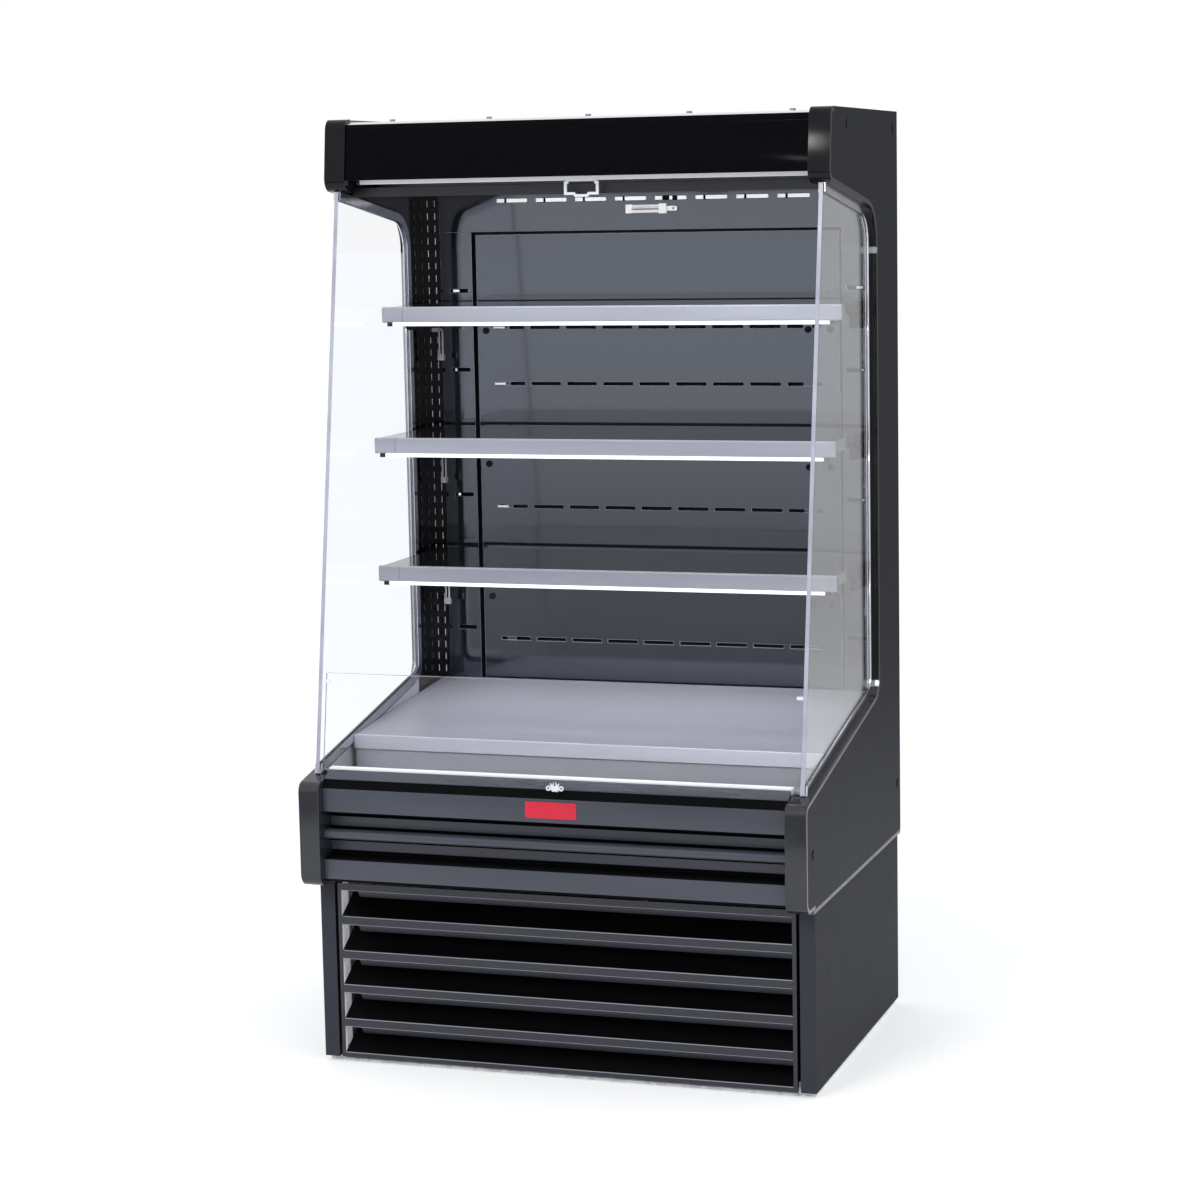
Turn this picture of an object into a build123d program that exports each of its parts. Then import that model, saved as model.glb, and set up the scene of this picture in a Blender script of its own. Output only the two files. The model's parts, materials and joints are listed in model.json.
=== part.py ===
from build123d import *
import math
import os

# Upright open-front refrigerated merchandiser, in millimetres.
# X runs along the width, the front faces -Y and Z is up.
# A depth is measured back from the front face of the bumper's end caps, and
# the origin lies on the floor under the middle of the cabinet.

# Overall sizes
overall_width = 991.0
overall_depth = 765.0
overall_height = 1806.0

# Walls and clearances
side_wall = 17.5
rear_wall = 25.0
sheet = 1.5
fit_gap = 0.3
run_gap = 0.05
seat_gap = 0.5

# Base that holds the condensing unit
base_inset = 5.0
base_front = 77.0
base_panel_bottom = 10.0
base_bend = 1.0
post_width = 30.0
post_return = 16.0
rail_height = 24.0
rail_width = 40.0
rail_set_back = 10.0
rail_post_gap = 8.0
rail_groove_depth = 3.0
rail_groove_edge = 5.0
tray_sheet = 2.0
tray_side_gap = 6.0
tray_rear_gap = 8.0
side_plate_sheet = 2.0
side_plate_set_back = 8.0
side_plate_flange = 24.0
rear_panel_lift = 4.0
body_bottom = 362.0
joint_trim_height = 8.0
joint_trim_front = 50.0
joint_trim_width = 22.0
joint_trim_rear_width = 24.0

# Vents of the rear panel and the gland for the power cord
vent_length = 150.0
vent_height = 8.0
vent_column_pitch = 190.0
vent_row_pitch = 34.0
vent_columns = 3
vent_rows = 7
lowest_vent = 96.0
gland_x = -360.0
gland_height = 70.0
gland_radius = 10.8
gland_bore_radius = 4.5
gland_inside = 10.0
gland_rear_gap = 1.0
gland_nut_radius = 15.0
gland_nut_thickness = 2.3

# Louvred grille of the base
grille_side_gap = 6.0
stile_width = 8.0
stile_depth = 48.0
stile_lip = 8.0
stile_cap = 2.0
slat_pitch = 67.3
slat_lip = 17.0
slat_fold = 13.0
slat_fold_depth = 9.0
slat_rise = 44.0
slat_sheet = 2.0
slat_end_taper = 10.0
slat_count = 5
slat_top_overlap = 3.0
fold_cutback = 34.0

# Condenser coil, its fan and motor
coil_left = -330.0
coil_right = 70.0
coil_front = 168.0
coil_depth = 40.0
coil_top = 290.0
coil_fins = 20
coil_fin_fill = 0.3
coil_core_share = 0.75
coil_bend_reach = 13.0
coil_bend_thickness = 8.0
coil_bend_inset = 5.0
cooling_fan_radius = 112.0
cooling_fan_hub = 22.0
cooling_fan_depth = 34.0
cooling_fan_set_back = 12.0
cooling_fan_pin = 4.0
fan_blades = 5
fan_blade_sheet = 2.0
fan_blade_share = 0.475
fan_end_gap = 2.0
shroud_depth = 46.0
shroud_gap = 3.0
shroud_wall = 3.0
shroud_plate = 2.0
motor_radius = 42.0
motor_sides = 16
shell_sides = 24
motor_length = 62.0
motor_gap = 4.0
motor_pin_reach = 40.0
motor_arm_height = 14.0
motor_arm_thickness = 3.0
motor_arm_set_back = 12.0
motor_arm_tab = 3.0

# Compressor
compressor_x = 225.0
compressor_middle = 470.0
compressor_radius = 82.0
compressor_lift = 26.0
compressor_taper = (12.0, 22.0)
compressor_seam = (70.0, 78.0)
compressor_seam_width = 4.0
compressor_shoulder = 150.0
compressor_dome_inset = 30.0
compressor_crown = 192.0
compressor_plate = (95.0, 70.0)
compressor_plate_span = (18.0, 24.0)
compressor_plate_corner = 12.0
compressor_stand = (40.0, 60.0)
compressor_stand_top = 34.0
compressor_foot_spacing = (80.0, 55.0)
compressor_foot = 20.0
relay_reach = (70.0, 98.0)
relay_half_depth = 35.0
relay_span = (90.0, 150.0)

# Copper lines and the filter drier
line_radius = 4.0
suction_radius = 6.0
line_bend = 14.0
suction_bend = 18.0
line_top = 262.0
line_corner = (150.0, 400.0)
line_turn = (110.0, 260.0)
line_rear_gap = 2.0
line_end = (30.0, 22.0)
line_end_drop = 40.0
line_turn_drop = 30.0
suction_offset = (30.0, 20.0)
suction_top = 270.0
suction_riser = (262.0, 560.0)
drier_x = -10.0
drier_depth = 400.0
drier_radius = 22.0
drier_length = 140.0
drier_neck = 2.0
liquid_top = 220.0
liquid_riser = (40.0, 560.0)
riser_reach = 20.0
shell_join = 0.3

# Drain pan, electrical box and its rocker switch
pan_left = -430.0
pan_right = -40.0
pan_front = 480.0
pan_back = 700.0
pan_height = 55.0
box_left = 300.0
box_right = 440.0
box_front = 150.0
box_depth = 90.0
box_height = 190.0
box_corner = 3.0
switch_x = 340.0
switch_height_above_tray = 140.0
switch_well = (10.0, 16.0, 14.0)
switch_pin_radius = 1.5
switch_pin_depth = 5.0
rocker_width = 19.0
rocker_tilt = 12.0
rocker_profile = ((-8, 11), (-6, 0), (-8, -11), (9, -6), (9, 6))

# Side outline of the body: a C with a lower arm, a rear column and a canopy
canopy_face = 217.0
cap_face = 210.0
cap_top_face = 226.0
cap_top_end = 252.0
column_front = 581.0
arm_slope = 0.197
arm_front_height = 560.7
soffit_slope = 0.15
soffit_front_height = 1673.0
cap_top_radius = 22.0
cap_bottom_radius = 24.0
upper_corner_radius = 75.0
lower_corner_radius = 40.0
bumper_top_radius = 20.0
bumper_bottom_radius = 25.0
cap_width = 41.0
cap_wall = 4.0
cap_web = 3.0
cap_side_depth = 62.0
cap_side_rise = 60.0
cap_upper_drop = 25.0
cap_lower_rise = 300.0
trim_wrap = 8.0
trim_reach = 60.0
trim_lower_rise = 220.0
trim_upper_rise = 20.0
strip_half_depth = 30.0
clip_height = 12.0
upper_clip_height = 1539.0
lower_clip_height = 693.0

# Round plugs over the fixings
side_plug_radius = 9.0
side_plug_height = 1.5
side_plug_sides = 10
side_plug_places = ((350.0, 1775.0), (731.0, 1773.0), (742.0, 462.0), (50.0, 466.0))
duct_plug_radius = 7.0
duct_plug_height = 3.0
duct_plug_sides = 8
duct_plug_columns = (-363.0, 323.0, 363.0)
duct_plug_rows = (1380.0, 1104.0, 826.0)

# Side glass, its glazing channel and the low riser glass
glass_thickness = 8.0
glass_centre = 476.0
glass_front_bottom = (50.0, 577.0)
glass_front_top = (225.0, 1662.0)
channel_depth = 18.0
channel_floor = 2.0
channel_wall = 1.8
channel_set_back = 4.0
riser_thickness = 6.0
riser_set_back = 12.0
riser_top = 760.0
riser_foot = 577.0
riser_lift = 2.0
riser_holder_height = 12.0
riser_holder_front = 6.0
riser_holder_back = 7.0
riser_slot_reach = 20.0
riser_clip_drop = 15.0
riser_clip = (12.0, 4.2, 6.0)
riser_clip_gap = 0.8

# Bumper between the lower end caps, with its bands and ribs from the top down
bumper_face = 20.0
bumper_back = 66.0
bumper_recess = 62.0
bumper_wall = 3.0
bumper_lip = (54.0, 581.0)
bumper_slant = (31.0, 568.0)
bumper_slant_foot = 564.0
upper_band = (550.0, 506.0)
upper_band_foot = 503.0
upper_rib = (491.0, 472.0)
lower_rib = (443.5, 425.5)
lower_band_head = 417.0
lower_band = (413.0, 376.0)
bumper_foot = 369.0
band_return = 4.0
foot_return = 7.0
band_radius = 3.0
foot_radius = 5.0
bumper_rib_face = 55.0
bumper_bar_radius = 9.0
bumper_bar_height = 461.0
bumper_stem_half = 5.5
badge_width = 100.0
badge_height = 31.0
badge_middle = 529.5
badge_offset = 4.0
badge_thickness = 1.5
badge_corner = 0.8

# Hook for the curtain's handle, shaped as a small crown between two curls
hook_width = 35.0
hook_offset = 12.0
hook_foot = 566.0
hook_depth = 24.0
hook_thickness = 2.5
hook_tab = (6.0, 0.5, 7.0)
hook_tab_span = (-1.5, 1.0)
curl_radius = 5.0
curl_hole = 2.2
curl_sides = 8
crown_half = (
    (6.0, 0.0), (9.0, 15.0), (4.5, 11.0), (2.0, 17.0), (2.0, 9.0),
)
hook_arm = (3.5, 2.6)

# Insulated tub, deck and air return
tub_floor = 40.0
tub_front_wall = 18.0
tub_rim = 572.0
line_hole_gap = 2.0
deck_front = 219.0
deck_front_height = 618.0
deck_slope = 0.075
deck_flange = 28.0
deck_side_flange = 14.0
deck_rear_gap = 3.0
deck_rail_thickness = 3.0
deck_rail_bevel = 2.0
return_grille_height = 530.0
return_grille_flange = 14.0
return_slot_length = 66.0
return_slot_width = 12.0
return_slot_pitch = 84.0
return_slots = 10
return_slot_rows = (0.33, 0.67)

# Cooling coil and its two fans inside the tub
fan_plate_gap = 0.2
fan_plate_lip = 30.0
fan_plate_drop = 1.0
tub_fan_radius = 62.0
tub_fan_spacing = 380.0
tub_fan_height = 75.0
tub_fan_hub = 15.0
tub_fan_depth = 26.0
tub_fan_set_back = 4.0
tub_fan_pin = 3.0
tub_fan_hole_gap = 5.0
tub_motor_radius = 24.0
tub_motor_span = (34.0, 72.0)
tub_motor_arm = (50.0, 53.0)
tub_motor_arm_half = 6.0
tub_motor_reach = 14.0
cooling_coil_half = 400.0
cooling_coil_span = (330.0, 460.0)
cooling_coil_top = 588.0
cooling_coil_fins = 22
cooling_coil_fill = 0.2

# Rear air duct
duct_face = 711.0
centre_face = 719.0
centre_half_width = 388.0
duct_bottom = 600.0
centre_top = 1583.0
centre_gap = 6.0
duct_top = 1672.0
top_slot_length = 68.0
top_slot_width = 10.0
top_slot_corner = 3.5
top_slot_pitch = 85.0
top_slot_height = 1646.0
top_slot_count = 8
top_slot_shift = -0.5
strip_slot_length = 40.0
strip_slot_width = 8.0
strip_slot_reach = 29.0
strip_slot_heights = (1463.0, 1300.0, 1040.0, 760.0)
air_slot_length = 64.0
air_slot_height = 7.0
air_slot_pitch = 78.0
air_slot_count = 9
air_slot_rows = (1387.0, 1271.0, 1016.0, 738.0)
duct_rib_width = 20.0
duct_rib_edge = 50.0
duct_rib_end = 40.0

# Shelf uprights
upright_face = 679.0
upright_width = 33.0
slot_pitch = 25.4
slot_width = 4.0
slot_height = 14.0
slot_column_spacing = 16.0
lowest_slot = 670.0
upright_bottom = 660.0

# Thermometer on the duct
thermometer_height = 1625.0
thermometer_span = (-48.0, 34.0)
thermometer_body = (16.0, 6.0)
thermometer_gap = 2.0
thermometer_corner = 2.5
thermometer_tab = (58.0, 10.0, 4.0)
thermometer_tab_corner = 2.5
thermometer_hole = (50.0, 2.2)
thermometer_collars = ((20.0, 36.0, 20.0), (-50.0, -38.0, 18.0))
thermometer_collar_depth = 9.0

# Shelves, from the top one down
shelf_slots = (30, 20, 10)
shelf_fronts = (399.0, 343.0, 345.0)
shelf_rear = 672.0
shelf_half_width = 462.0
shelf_end_clearance = 4.0
shelf_flange = 23.0
shelf_rear_flange = 7.0
rail_face_height = 30.0
rail_thickness = 11.0
rail_end_length = 44.0
rail_joint_gap = 0.4
rail_foot_bevel = (3.0, 2.0)
rail_head = 0.5
rail_head_drop = 1.5
rail_wall = (2.5, 2.0)
rail_rim = 5.0
bracket_length = 176.0
bracket_thickness = 2.5
bracket_height = 50.0
bracket_drop = 8.0
bracket_corner = 6.0
bracket_notch = 5.0
bracket_step_gap = 0.6
hook_drop = 10.0
hook_neck = 2.4
hook_tongue = 8.0
hook_sheet = 2.7
hook_behind = 1.7
lower_tab_height = 9.0
lower_tab_lift = 2.0

# Light under each price rail, with its plug and twin leads
light_half = 440.0
light_height = 7.0
light_depth = 14.0
light_set_back = 1.0
light_bevel = 3.0
light_end_length = 12.0
light_end_drop = 0.5
plug_length = 20.0
plug_width = 12.0
plug_thickness = 8.0
plug_drop = 2.0
lead_radius = 2.0
lead_drop = 52.0
lead_spacing = 7.0
lead_reach = 20.0
lead_corner = 5.0
lead_wall_gap = 6.0
socket_width = 12.0
socket_depth = 11.0

# Night curtain
curtain_roll_radius = 20.0
curtain_roll_half = 430.0
curtain_axis_depth = 246.0
curtain_axis_height = 1730.0
curtain_core_radius = 12.0
curtain_core_reach = 8.0
curtain_hem = 1.2
roller_pin_radius = 4.0
pull_bar_height = 11.5
pull_bar_depth = 10.0
pull_bar_middle = (266.0, 1688.0)
pull_bar_half_length = 442.0
pull_bar_bevel = 1.0
knob_length = 8.0
knob_radius = 6.5
knob_bevel = 2.0
knob_sides = 16
handle_width = 68.0
handle_drop = 27.0
handle_bar = 5.0
handle_thickness = 4.0
handle_offset = 4.5
handle_clip_half = 28.0
handle_clip_wall = 1.8
handle_clip_gap = 0.2
handle_clip_lip = 4.0
handle_notch_half = 11.0
handle_notch = 4.0

# Canopy
canopy_top_height = 1800.0
canopy_thickness = 30.0
canopy_lip = 20.0
canopy_lip_thickness = 12.0
canopy_skin = 2.5
canopy_lean = 9.0
canopy_face_low = 17.0
canopy_face_high = 1785.0
canopy_return = 22.0
canopy_shoulder = (8.0, 3.0)
canopy_outer_radii = (2.4, 10.0)
canopy_inner_radius = 8.0
canopy_grooves = (1780.0, 1784.0)
canopy_groove_radius = 0.9
canopy_groove_set_back = 0.3
canopy_screw_depth = 327.0
canopy_screw_radius = 6.0
canopy_screw_positions = (-398.0, -199.0, 0.0, 199.0, 398.0)
discharge_span = (288.0, 420.0)
discharge_height = 18.0
discharge_rim = 6.0
discharge_edge = 8.0
discharge_wall = 2.4
discharge_cells = 18
discharge_drop = 14.0

half_width = overall_width / 2
inner_half = half_width - side_wall
base_half = half_width - base_inset
base_back = overall_depth - base_inset
base_top = body_bottom - joint_trim_height
base_floor = rail_height + tray_sheet
duct_back = overall_depth - rear_wall
tub_base = body_bottom + tub_floor
cap_inner = half_width - cap_width
coil_back = coil_front + coil_depth
pane_outer = glass_centre + glass_thickness / 2
pane_inner = glass_centre - glass_thickness / 2
channel_inner = pane_inner - fit_gap - channel_wall
bracket_middle = inner_half - upright_width / 2 - slot_column_spacing / 2
discharge_low = duct_top - discharge_drop


def at(depth):
    """Y of a point that lies this far behind the front face."""
    return depth - overall_depth / 2


def outline(points, radii=None):
    """Face from (depth, height) corners, some of them rounded."""
    placed = [(at(depth), height) for depth, height in points]
    if radii is None:
        return make_face(Polyline(*placed, close=True))
    return make_face(FilletPolyline(*placed, radius=radii, close=True))


def side_band(d0, d1, z0, z1):
    """Rectangle in a side view, between two depths and two heights."""
    return outline([(d0, z0), (d1, z0), (d1, z1), (d0, z1)])


def along_x(face, start, end):
    """Push a side outline out from one X to another."""
    return extrude(Plane.YZ.offset(start) * face, amount=end - start)


def along_y(face, d0, d1):
    """Push a front outline, drawn in X and Z, back from one depth to another."""
    return extrude(Plane.XZ.offset(-at(d1)) * face, amount=d1 - d0)


def block(x0, x1, d0, d1, z0, z1):
    """Box between two X values, two depths and two heights."""
    size = Box(x1 - x0, d1 - d0, z1 - z0)
    return Pos((x0 + x1) / 2, at((d0 + d1) / 2), (z0 + z1) / 2) * size


def rod_x(x0, x1, depth, height, radius):
    """Round bar along X."""
    bar = Cylinder(radius, x1 - x0, rotation=(0, 90, 0))
    return Pos((x0 + x1) / 2, at(depth), height) * bar


def rod_y(x, d0, d1, height, radius):
    """Round bar along Y."""
    bar = Cylinder(radius, d1 - d0, rotation=(90, 0, 0))
    return Pos(x, at((d0 + d1) / 2), height) * bar


def cut_corners(points, cut):
    """The points with each corner replaced by two, one each side of it."""
    placed = [Vector(*point) for point in points]
    path = [placed[0]]
    for before, corner, after in zip(placed, placed[1:], placed[2:]):
        path.append(corner + (before - corner).normalized() * cut)
        path.append(corner + (after - corner).normalized() * cut)
    return path + [placed[-1]]


def pipe(points, radius, cut):
    """Six-sided pipe through (x, depth, height) points with mitred corners."""
    placed = [(point.X, at(point.Y), point.Z) for point in cut_corners(points, cut)]
    path = Polyline(*placed)
    section = Plane(origin=path @ 0, z_dir=path % 0) * RegularPolygon(radius, 6)
    return sweep(section, path=path, transition=Transition.RIGHT)


def both_sides(shape):
    """The shape and its mirror image on the other side."""
    return [shape, mirror(shape, about=Plane.YZ)]


def save(name, *shapes):
    """Write the solids of one named piece to its own file."""
    solids = []
    for shape in shapes:
        solids.extend(shape.solids())
    piece = Compound(children=[Solid(s.wrapped) for s in solids])
    piece.label = name
    export_step(piece, f"parts/{name}.step")


def arm_height(depth):
    """Height of the lower arm's upper edge at a depth."""
    return arm_front_height + arm_slope * depth


def soffit_height(depth):
    """Height of the canopy arm's lower edge at a depth."""
    return soffit_front_height - soffit_slope * (depth - cap_face)


def glass_front(height, set_back=0.0):
    """Depth of the side glass's front edge at a height."""
    d0, z0 = glass_front_bottom
    d1, z1 = glass_front_top
    return d0 + (d1 - d0) * (height - z0) / (z1 - z0) + set_back


def deck_height(depth):
    """Height of the deck's upper face at a depth."""
    return deck_front_height + deck_slope * (depth - deck_front)


def shelf_height(slots):
    """Top of a shelf that hooks in this many slots above the lowest one."""
    return lowest_slot + slots * slot_pitch + hook_drop


def plug_height(top):
    """Height of the light's plug behind a shelf bracket."""
    return top - bracket_height - bracket_drop + plug_drop


def side_outline():
    """Outline of one end of the body, with its end caps."""
    corners = [
        (overall_depth, body_bottom),
        (overall_depth, overall_height),
        (cap_top_face, overall_height),
        (cap_face, soffit_front_height),
        (column_front, soffit_height(column_front)),
        (column_front, arm_height(column_front)),
        (0.0, arm_front_height),
        (0.0, body_bottom),
    ]
    radii = [
        0,
        0,
        cap_top_radius,
        cap_bottom_radius,
        upper_corner_radius,
        lower_corner_radius,
        bumper_top_radius,
        bumper_bottom_radius,
    ]
    return outline(corners, radii)


def window_outline(inset):
    """The open space in the C of an end, drawn in from its edge by an inset."""
    reach = -overall_depth / 2
    corners = [
        (reach, arm_height(reach)),
        (column_front, arm_height(column_front)),
        (column_front, soffit_height(column_front)),
        (reach, soffit_height(reach)),
    ]
    face = outline(corners, [0, lower_corner_radius, upper_corner_radius, 0])
    return offset(face, amount=-inset)


def behind_glass_edge(set_back):
    """Everything behind a line parallel to the side glass's front edge."""
    low = 0.0
    high = 1.2 * overall_height
    return outline([
        (glass_front(low, set_back), low),
        (overall_depth, low),
        (overall_depth, high),
        (glass_front(high, set_back), high),
    ])


def build_base():
    """Base: floor rails and tray, side and rear panels, and the trim above them."""
    tray_half = base_half - tray_side_gap
    tray_front = base_front + rail_set_back
    tray_back = base_back - tray_rear_gap
    frame = block(-tray_half, tray_half, tray_front, tray_back, 0, base_floor)
    frame -= block(
        rail_width - tray_half, tray_half - rail_width,
        tray_front + rail_width, tray_back - rail_width, 0, rail_height,
    )
    frame -= block(
        -tray_half, tray_half, tray_front, tray_front + rail_groove_depth,
        rail_groove_edge, rail_height - rail_groove_edge,
    )
    post_back = base_front + post_return + fit_gap
    post_inner = base_half - post_width - rail_post_gap
    corner = block(post_inner, half_width, base_front, post_back, 0, base_floor)
    plate_front = post_back + side_plate_set_back
    plate = block(tray_half - side_plate_sheet, tray_half, plate_front, tray_back,
                  rail_height, base_top)
    plate += block(tray_half - side_plate_flange, tray_half, plate_front, tray_back,
                   base_top - side_plate_sheet, base_top)
    for cut, added in zip(both_sides(corner), both_sides(plate)):
        frame -= cut
        frame += added
    save("base_frame", frame)

    panel = block(base_half - sheet, base_half, base_front, base_back,
                  base_panel_bottom, base_top)
    panel += block(base_half - post_width, base_half, base_front, base_front + sheet,
                   base_panel_bottom, base_top)
    panel += block(base_half - post_width, base_half - post_width + sheet,
                   base_front, base_front + post_return, base_panel_bottom, base_top)
    bend = panel.edges().filter_by(Axis.Z).sort_by(Axis.X)[-2:]
    panel = chamfer(bend, base_bend)

    rear_half = base_half - sheet - fit_gap
    rear = block(-rear_half, rear_half, base_back - sheet, base_back,
                 rail_height + rear_panel_lift, base_top)
    for row in range(vent_rows):
        for column in range(vent_columns):
            x = (column - (vent_columns - 1) / 2) * vent_column_pitch
            height = lowest_vent + row * vent_row_pitch
            rear -= block(x - vent_length / 2, x + vent_length / 2,
                          base_back - sheet, base_back,
                          height - vent_height / 2, height + vent_height / 2)
    rear -= rod_y(gland_x, base_back - 2 * sheet, base_back + sheet, gland_height,
                  gland_radius + fit_gap)
    save("base_panels", *both_sides(panel), rear)

    gland_back = overall_depth - gland_rear_gap
    nut = Pos(gland_x, gland_height) * RegularPolygon(gland_nut_radius, 6)
    gland = rod_y(gland_x, base_back - gland_inside, gland_back, gland_height,
                  gland_radius)
    gland += along_y(nut, base_back + fit_gap, base_back + fit_gap + gland_nut_thickness)
    gland -= rod_y(gland_x, base_back - gland_inside, gland_back, gland_height,
                   gland_bore_radius)
    save("power_gland", gland)

    ring = block(-half_width, half_width, joint_trim_front, overall_depth,
                 base_top, body_bottom)
    ring -= block(
        joint_trim_width - base_half, base_half - joint_trim_width,
        joint_trim_front, overall_depth - joint_trim_rear_width, base_top, body_bottom,
    )
    save("base_joint_trim", ring)


def build_louvre():
    """Front grille: slats with a folded lip, held between two stiles."""
    grille_half = base_half - post_width - grille_side_gap
    slat_half = grille_half - stile_width
    stile_back = base_front + stile_depth
    low = base_panel_bottom
    high = base_top
    stile = block(slat_half, grille_half, base_front, stile_back, low, high)
    stile -= block(slat_half, grille_half - sheet, base_front + stile_lip, stile_back,
                   low, high - stile_cap)
    stile -= block(slat_half, grille_half, base_front + stile_lip, stile_back,
                   low, base_floor + seat_gap)
    grille = stile + mirror(stile, about=Plane.YZ)
    fold_face = [(0, 0), (sheet, sheet), (slat_fold_depth + sheet, -slat_fold),
                 (slat_fold_depth, -slat_fold)]
    for index in range(slat_count + 1):
        lip_top = high + slat_top_overlap - index * slat_pitch
        lip_bottom = max(lip_top - slat_lip, low)
        grille += block(-slat_half, slat_half, base_front, base_front + sheet,
                        lip_bottom, min(lip_top, high))
        rise = min(slat_rise, high - lip_top)
        if rise > 0:
            slope = outline([
                (base_front, lip_top),
                (base_front + rise, lip_top + rise),
                (base_front + rise + slat_sheet, lip_top + rise),
                (base_front + sheet, lip_top - sheet),
            ])
            plan = make_face(Polyline(
                (-slat_half, at(base_front)), (slat_half, at(base_front)),
                (slat_half - slat_end_taper, at(stile_back)),
                (slat_end_taper - slat_half, at(stile_back)), close=True,
            ))
            grille += along_x(slope, -slat_half, slat_half) & extrude(plan, amount=high)
        if lip_bottom > low:
            fold = outline([(base_front + d, lip_bottom + z) for d, z in fold_face])
            grille += along_x(fold, fold_cutback - slat_half, slat_half)
    save("louvre_grille", grille)


def build_machine():
    """Condensing unit, drain pan and electrics on the base tray."""
    floor = base_floor
    save("condenser_coil", finned_coil(
        coil_left, coil_right, coil_front, coil_back, floor, coil_top,
        coil_fins, coil_fin_fill,
    ))

    fan_x = (coil_left + coil_right) / 2
    fan_height = (floor + coil_top) / 2
    shroud_back = coil_back + shroud_depth
    bore = cooling_fan_radius + shroud_gap
    shroud = block(coil_left, coil_right, coil_back, coil_back + shroud_plate, floor, coil_top)
    ring = Pos(fan_x, fan_height) * RegularPolygon(bore + shroud_wall, shell_sides)
    opening = Pos(fan_x, fan_height) * RegularPolygon(bore, shell_sides)
    shroud += along_y(ring, coil_back, shroud_back)
    shroud -= along_y(opening, coil_back, shroud_back)
    motor_front = shroud_back + motor_gap
    arm_front = motor_front + motor_arm_set_back
    arm_back = arm_front + motor_arm_thickness
    motor_face = Pos(fan_x, fan_height) * RegularPolygon(motor_radius, motor_sides)
    motor = along_y(motor_face, motor_front, motor_front + motor_length)
    motor += rod_y(fan_x, motor_front - motor_pin_reach, motor_front, fan_height,
                   cooling_fan_pin)
    arm_half = bore + shroud_wall
    arm_low = fan_height - motor_arm_height / 2
    arm_high = fan_height + motor_arm_height / 2
    motor += block(fan_x - arm_half, fan_x + arm_half, arm_front, arm_back, arm_low, arm_high)
    tab = block(arm_half - motor_arm_tab, arm_half, shroud_back, arm_back, arm_low, arm_high)
    for side_tab in both_sides(tab):
        motor += Pos(fan_x, 0, 0) * side_tab
    motor += block(fan_x - motor_arm_height / 2, fan_x + motor_arm_height / 2,
                   arm_front, arm_back, floor, fan_height)
    save("condenser_fan_mount", shroud, motor)

    rotor = axial_fan(cooling_fan_radius, cooling_fan_hub, cooling_fan_depth,
                      coil_back + cooling_fan_set_back, cooling_fan_pin + run_gap)
    save("condenser_fan", Pos(fan_x, 0, fan_height) * rotor)

    save("compressor", compressor())
    save("refrigerant_lines", *refrigerant_lines())

    pan = block(pan_left, pan_right, pan_front, pan_back, floor, floor + pan_height)
    pan -= block(pan_left + sheet, pan_right - sheet, pan_front + sheet, pan_back - sheet,
                 floor + sheet, floor + pan_height)
    save("condensate_pan", pan)

    well_half, well_depth, well_rise = switch_well
    switch_height = floor + switch_height_above_tray
    pin_depth = box_front + switch_pin_depth
    housing = block(box_left, box_right, box_front, box_front + box_depth,
                    floor, floor + box_height)
    housing = chamfer(housing.edges().filter_by(Axis.Z), box_corner)
    housing -= block(switch_x - well_half, switch_x + well_half,
                     box_front, box_front + well_depth,
                     switch_height - well_rise, switch_height + well_rise)
    housing += rod_x(switch_x - well_half, switch_x + well_half, pin_depth, switch_height,
                     switch_pin_radius)
    save("electrical_box", housing)

    rocker_side = make_face(Polyline(*rocker_profile, close=True))
    rocker_side -= Circle(switch_pin_radius + run_gap)
    rocker = extrude(Plane.YZ * Rot(0, 0, -rocker_tilt) * rocker_side, amount=rocker_width)
    save("light_switch", Pos(switch_x - rocker_width / 2, at(pin_depth), switch_height) * rocker)


def finned_coil(left, right, front, back, bottom, top, fins, fill):
    """Row of fins on a tube core, with tube bends at both ends."""
    pitch = (right - left) / fins
    fin = fill * pitch
    core = at(front + coil_core_share * (back - front))
    corners = [(left, at(back)), (left, at(front))]
    for index in range(fins):
        start = left + index * pitch
        corners += [(start + fin, at(front)), (start + fin, core)]
        if index < fins - 1:
            corners += [(start + pitch, core), (start + pitch, at(front))]
    corners += [(right, core), (right, at(back))]
    coil = extrude(Pos(0, 0, bottom) * make_face(Polyline(*corners, close=True)),
                   amount=top - bottom)
    reach = coil_bend_reach
    count = int((top - bottom) // (4 * reach))
    step = (top - bottom) / count
    bend_back = back - coil_bend_inset
    for index in range(count):
        middle = bottom + (index + 0.5) * step
        for x, out in ((left, -reach), (right, reach)):
            bend = make_face(Polyline(
                (x, middle - reach), (x, middle + reach),
                (x + out / 2, middle + reach), (x + out, middle + reach / 2),
                (x + out, middle - reach / 2), (x + out / 2, middle - reach), close=True,
            ))
            coil += along_y(bend, bend_back - coil_bend_thickness, bend_back)
    return coil


def axial_fan(radius, hub_radius, depth, front, bore):
    """Fan wheel with pitched flat blades about the Y axis."""
    hub_sides = 2 * fan_blades
    wheel = along_y(RegularPolygon(hub_radius, hub_sides), front, front + depth)
    half = fan_blade_share * radius
    pitch = math.asin((depth / 2 - fan_end_gap) / half)
    spread = half * math.cos(pitch)
    shoulder = math.sqrt(radius ** 2 - spread ** 2)
    tip = math.sqrt(radius ** 2 - (spread / 2) ** 2)
    root = hub_radius / 2
    plan = make_face(Polyline(
        (-root, root), (root, root), (half, shoulder), (half / 2, tip),
        (-half / 2, tip), (-half, shoulder), close=True,
    ))
    flat = extrude(Plane.XZ * plan, amount=fan_blade_sheet / 2, both=True)
    blade = Pos(0, at(front + depth / 2), 0) * Rot(0, 0, math.degrees(pitch)) * flat
    for index in range(fan_blades):
        wheel += Rot(0, index * 360 / fan_blades, 0) * blade
    wheel -= rod_y(0, front, front + depth, 0, bore)
    return wheel


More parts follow.
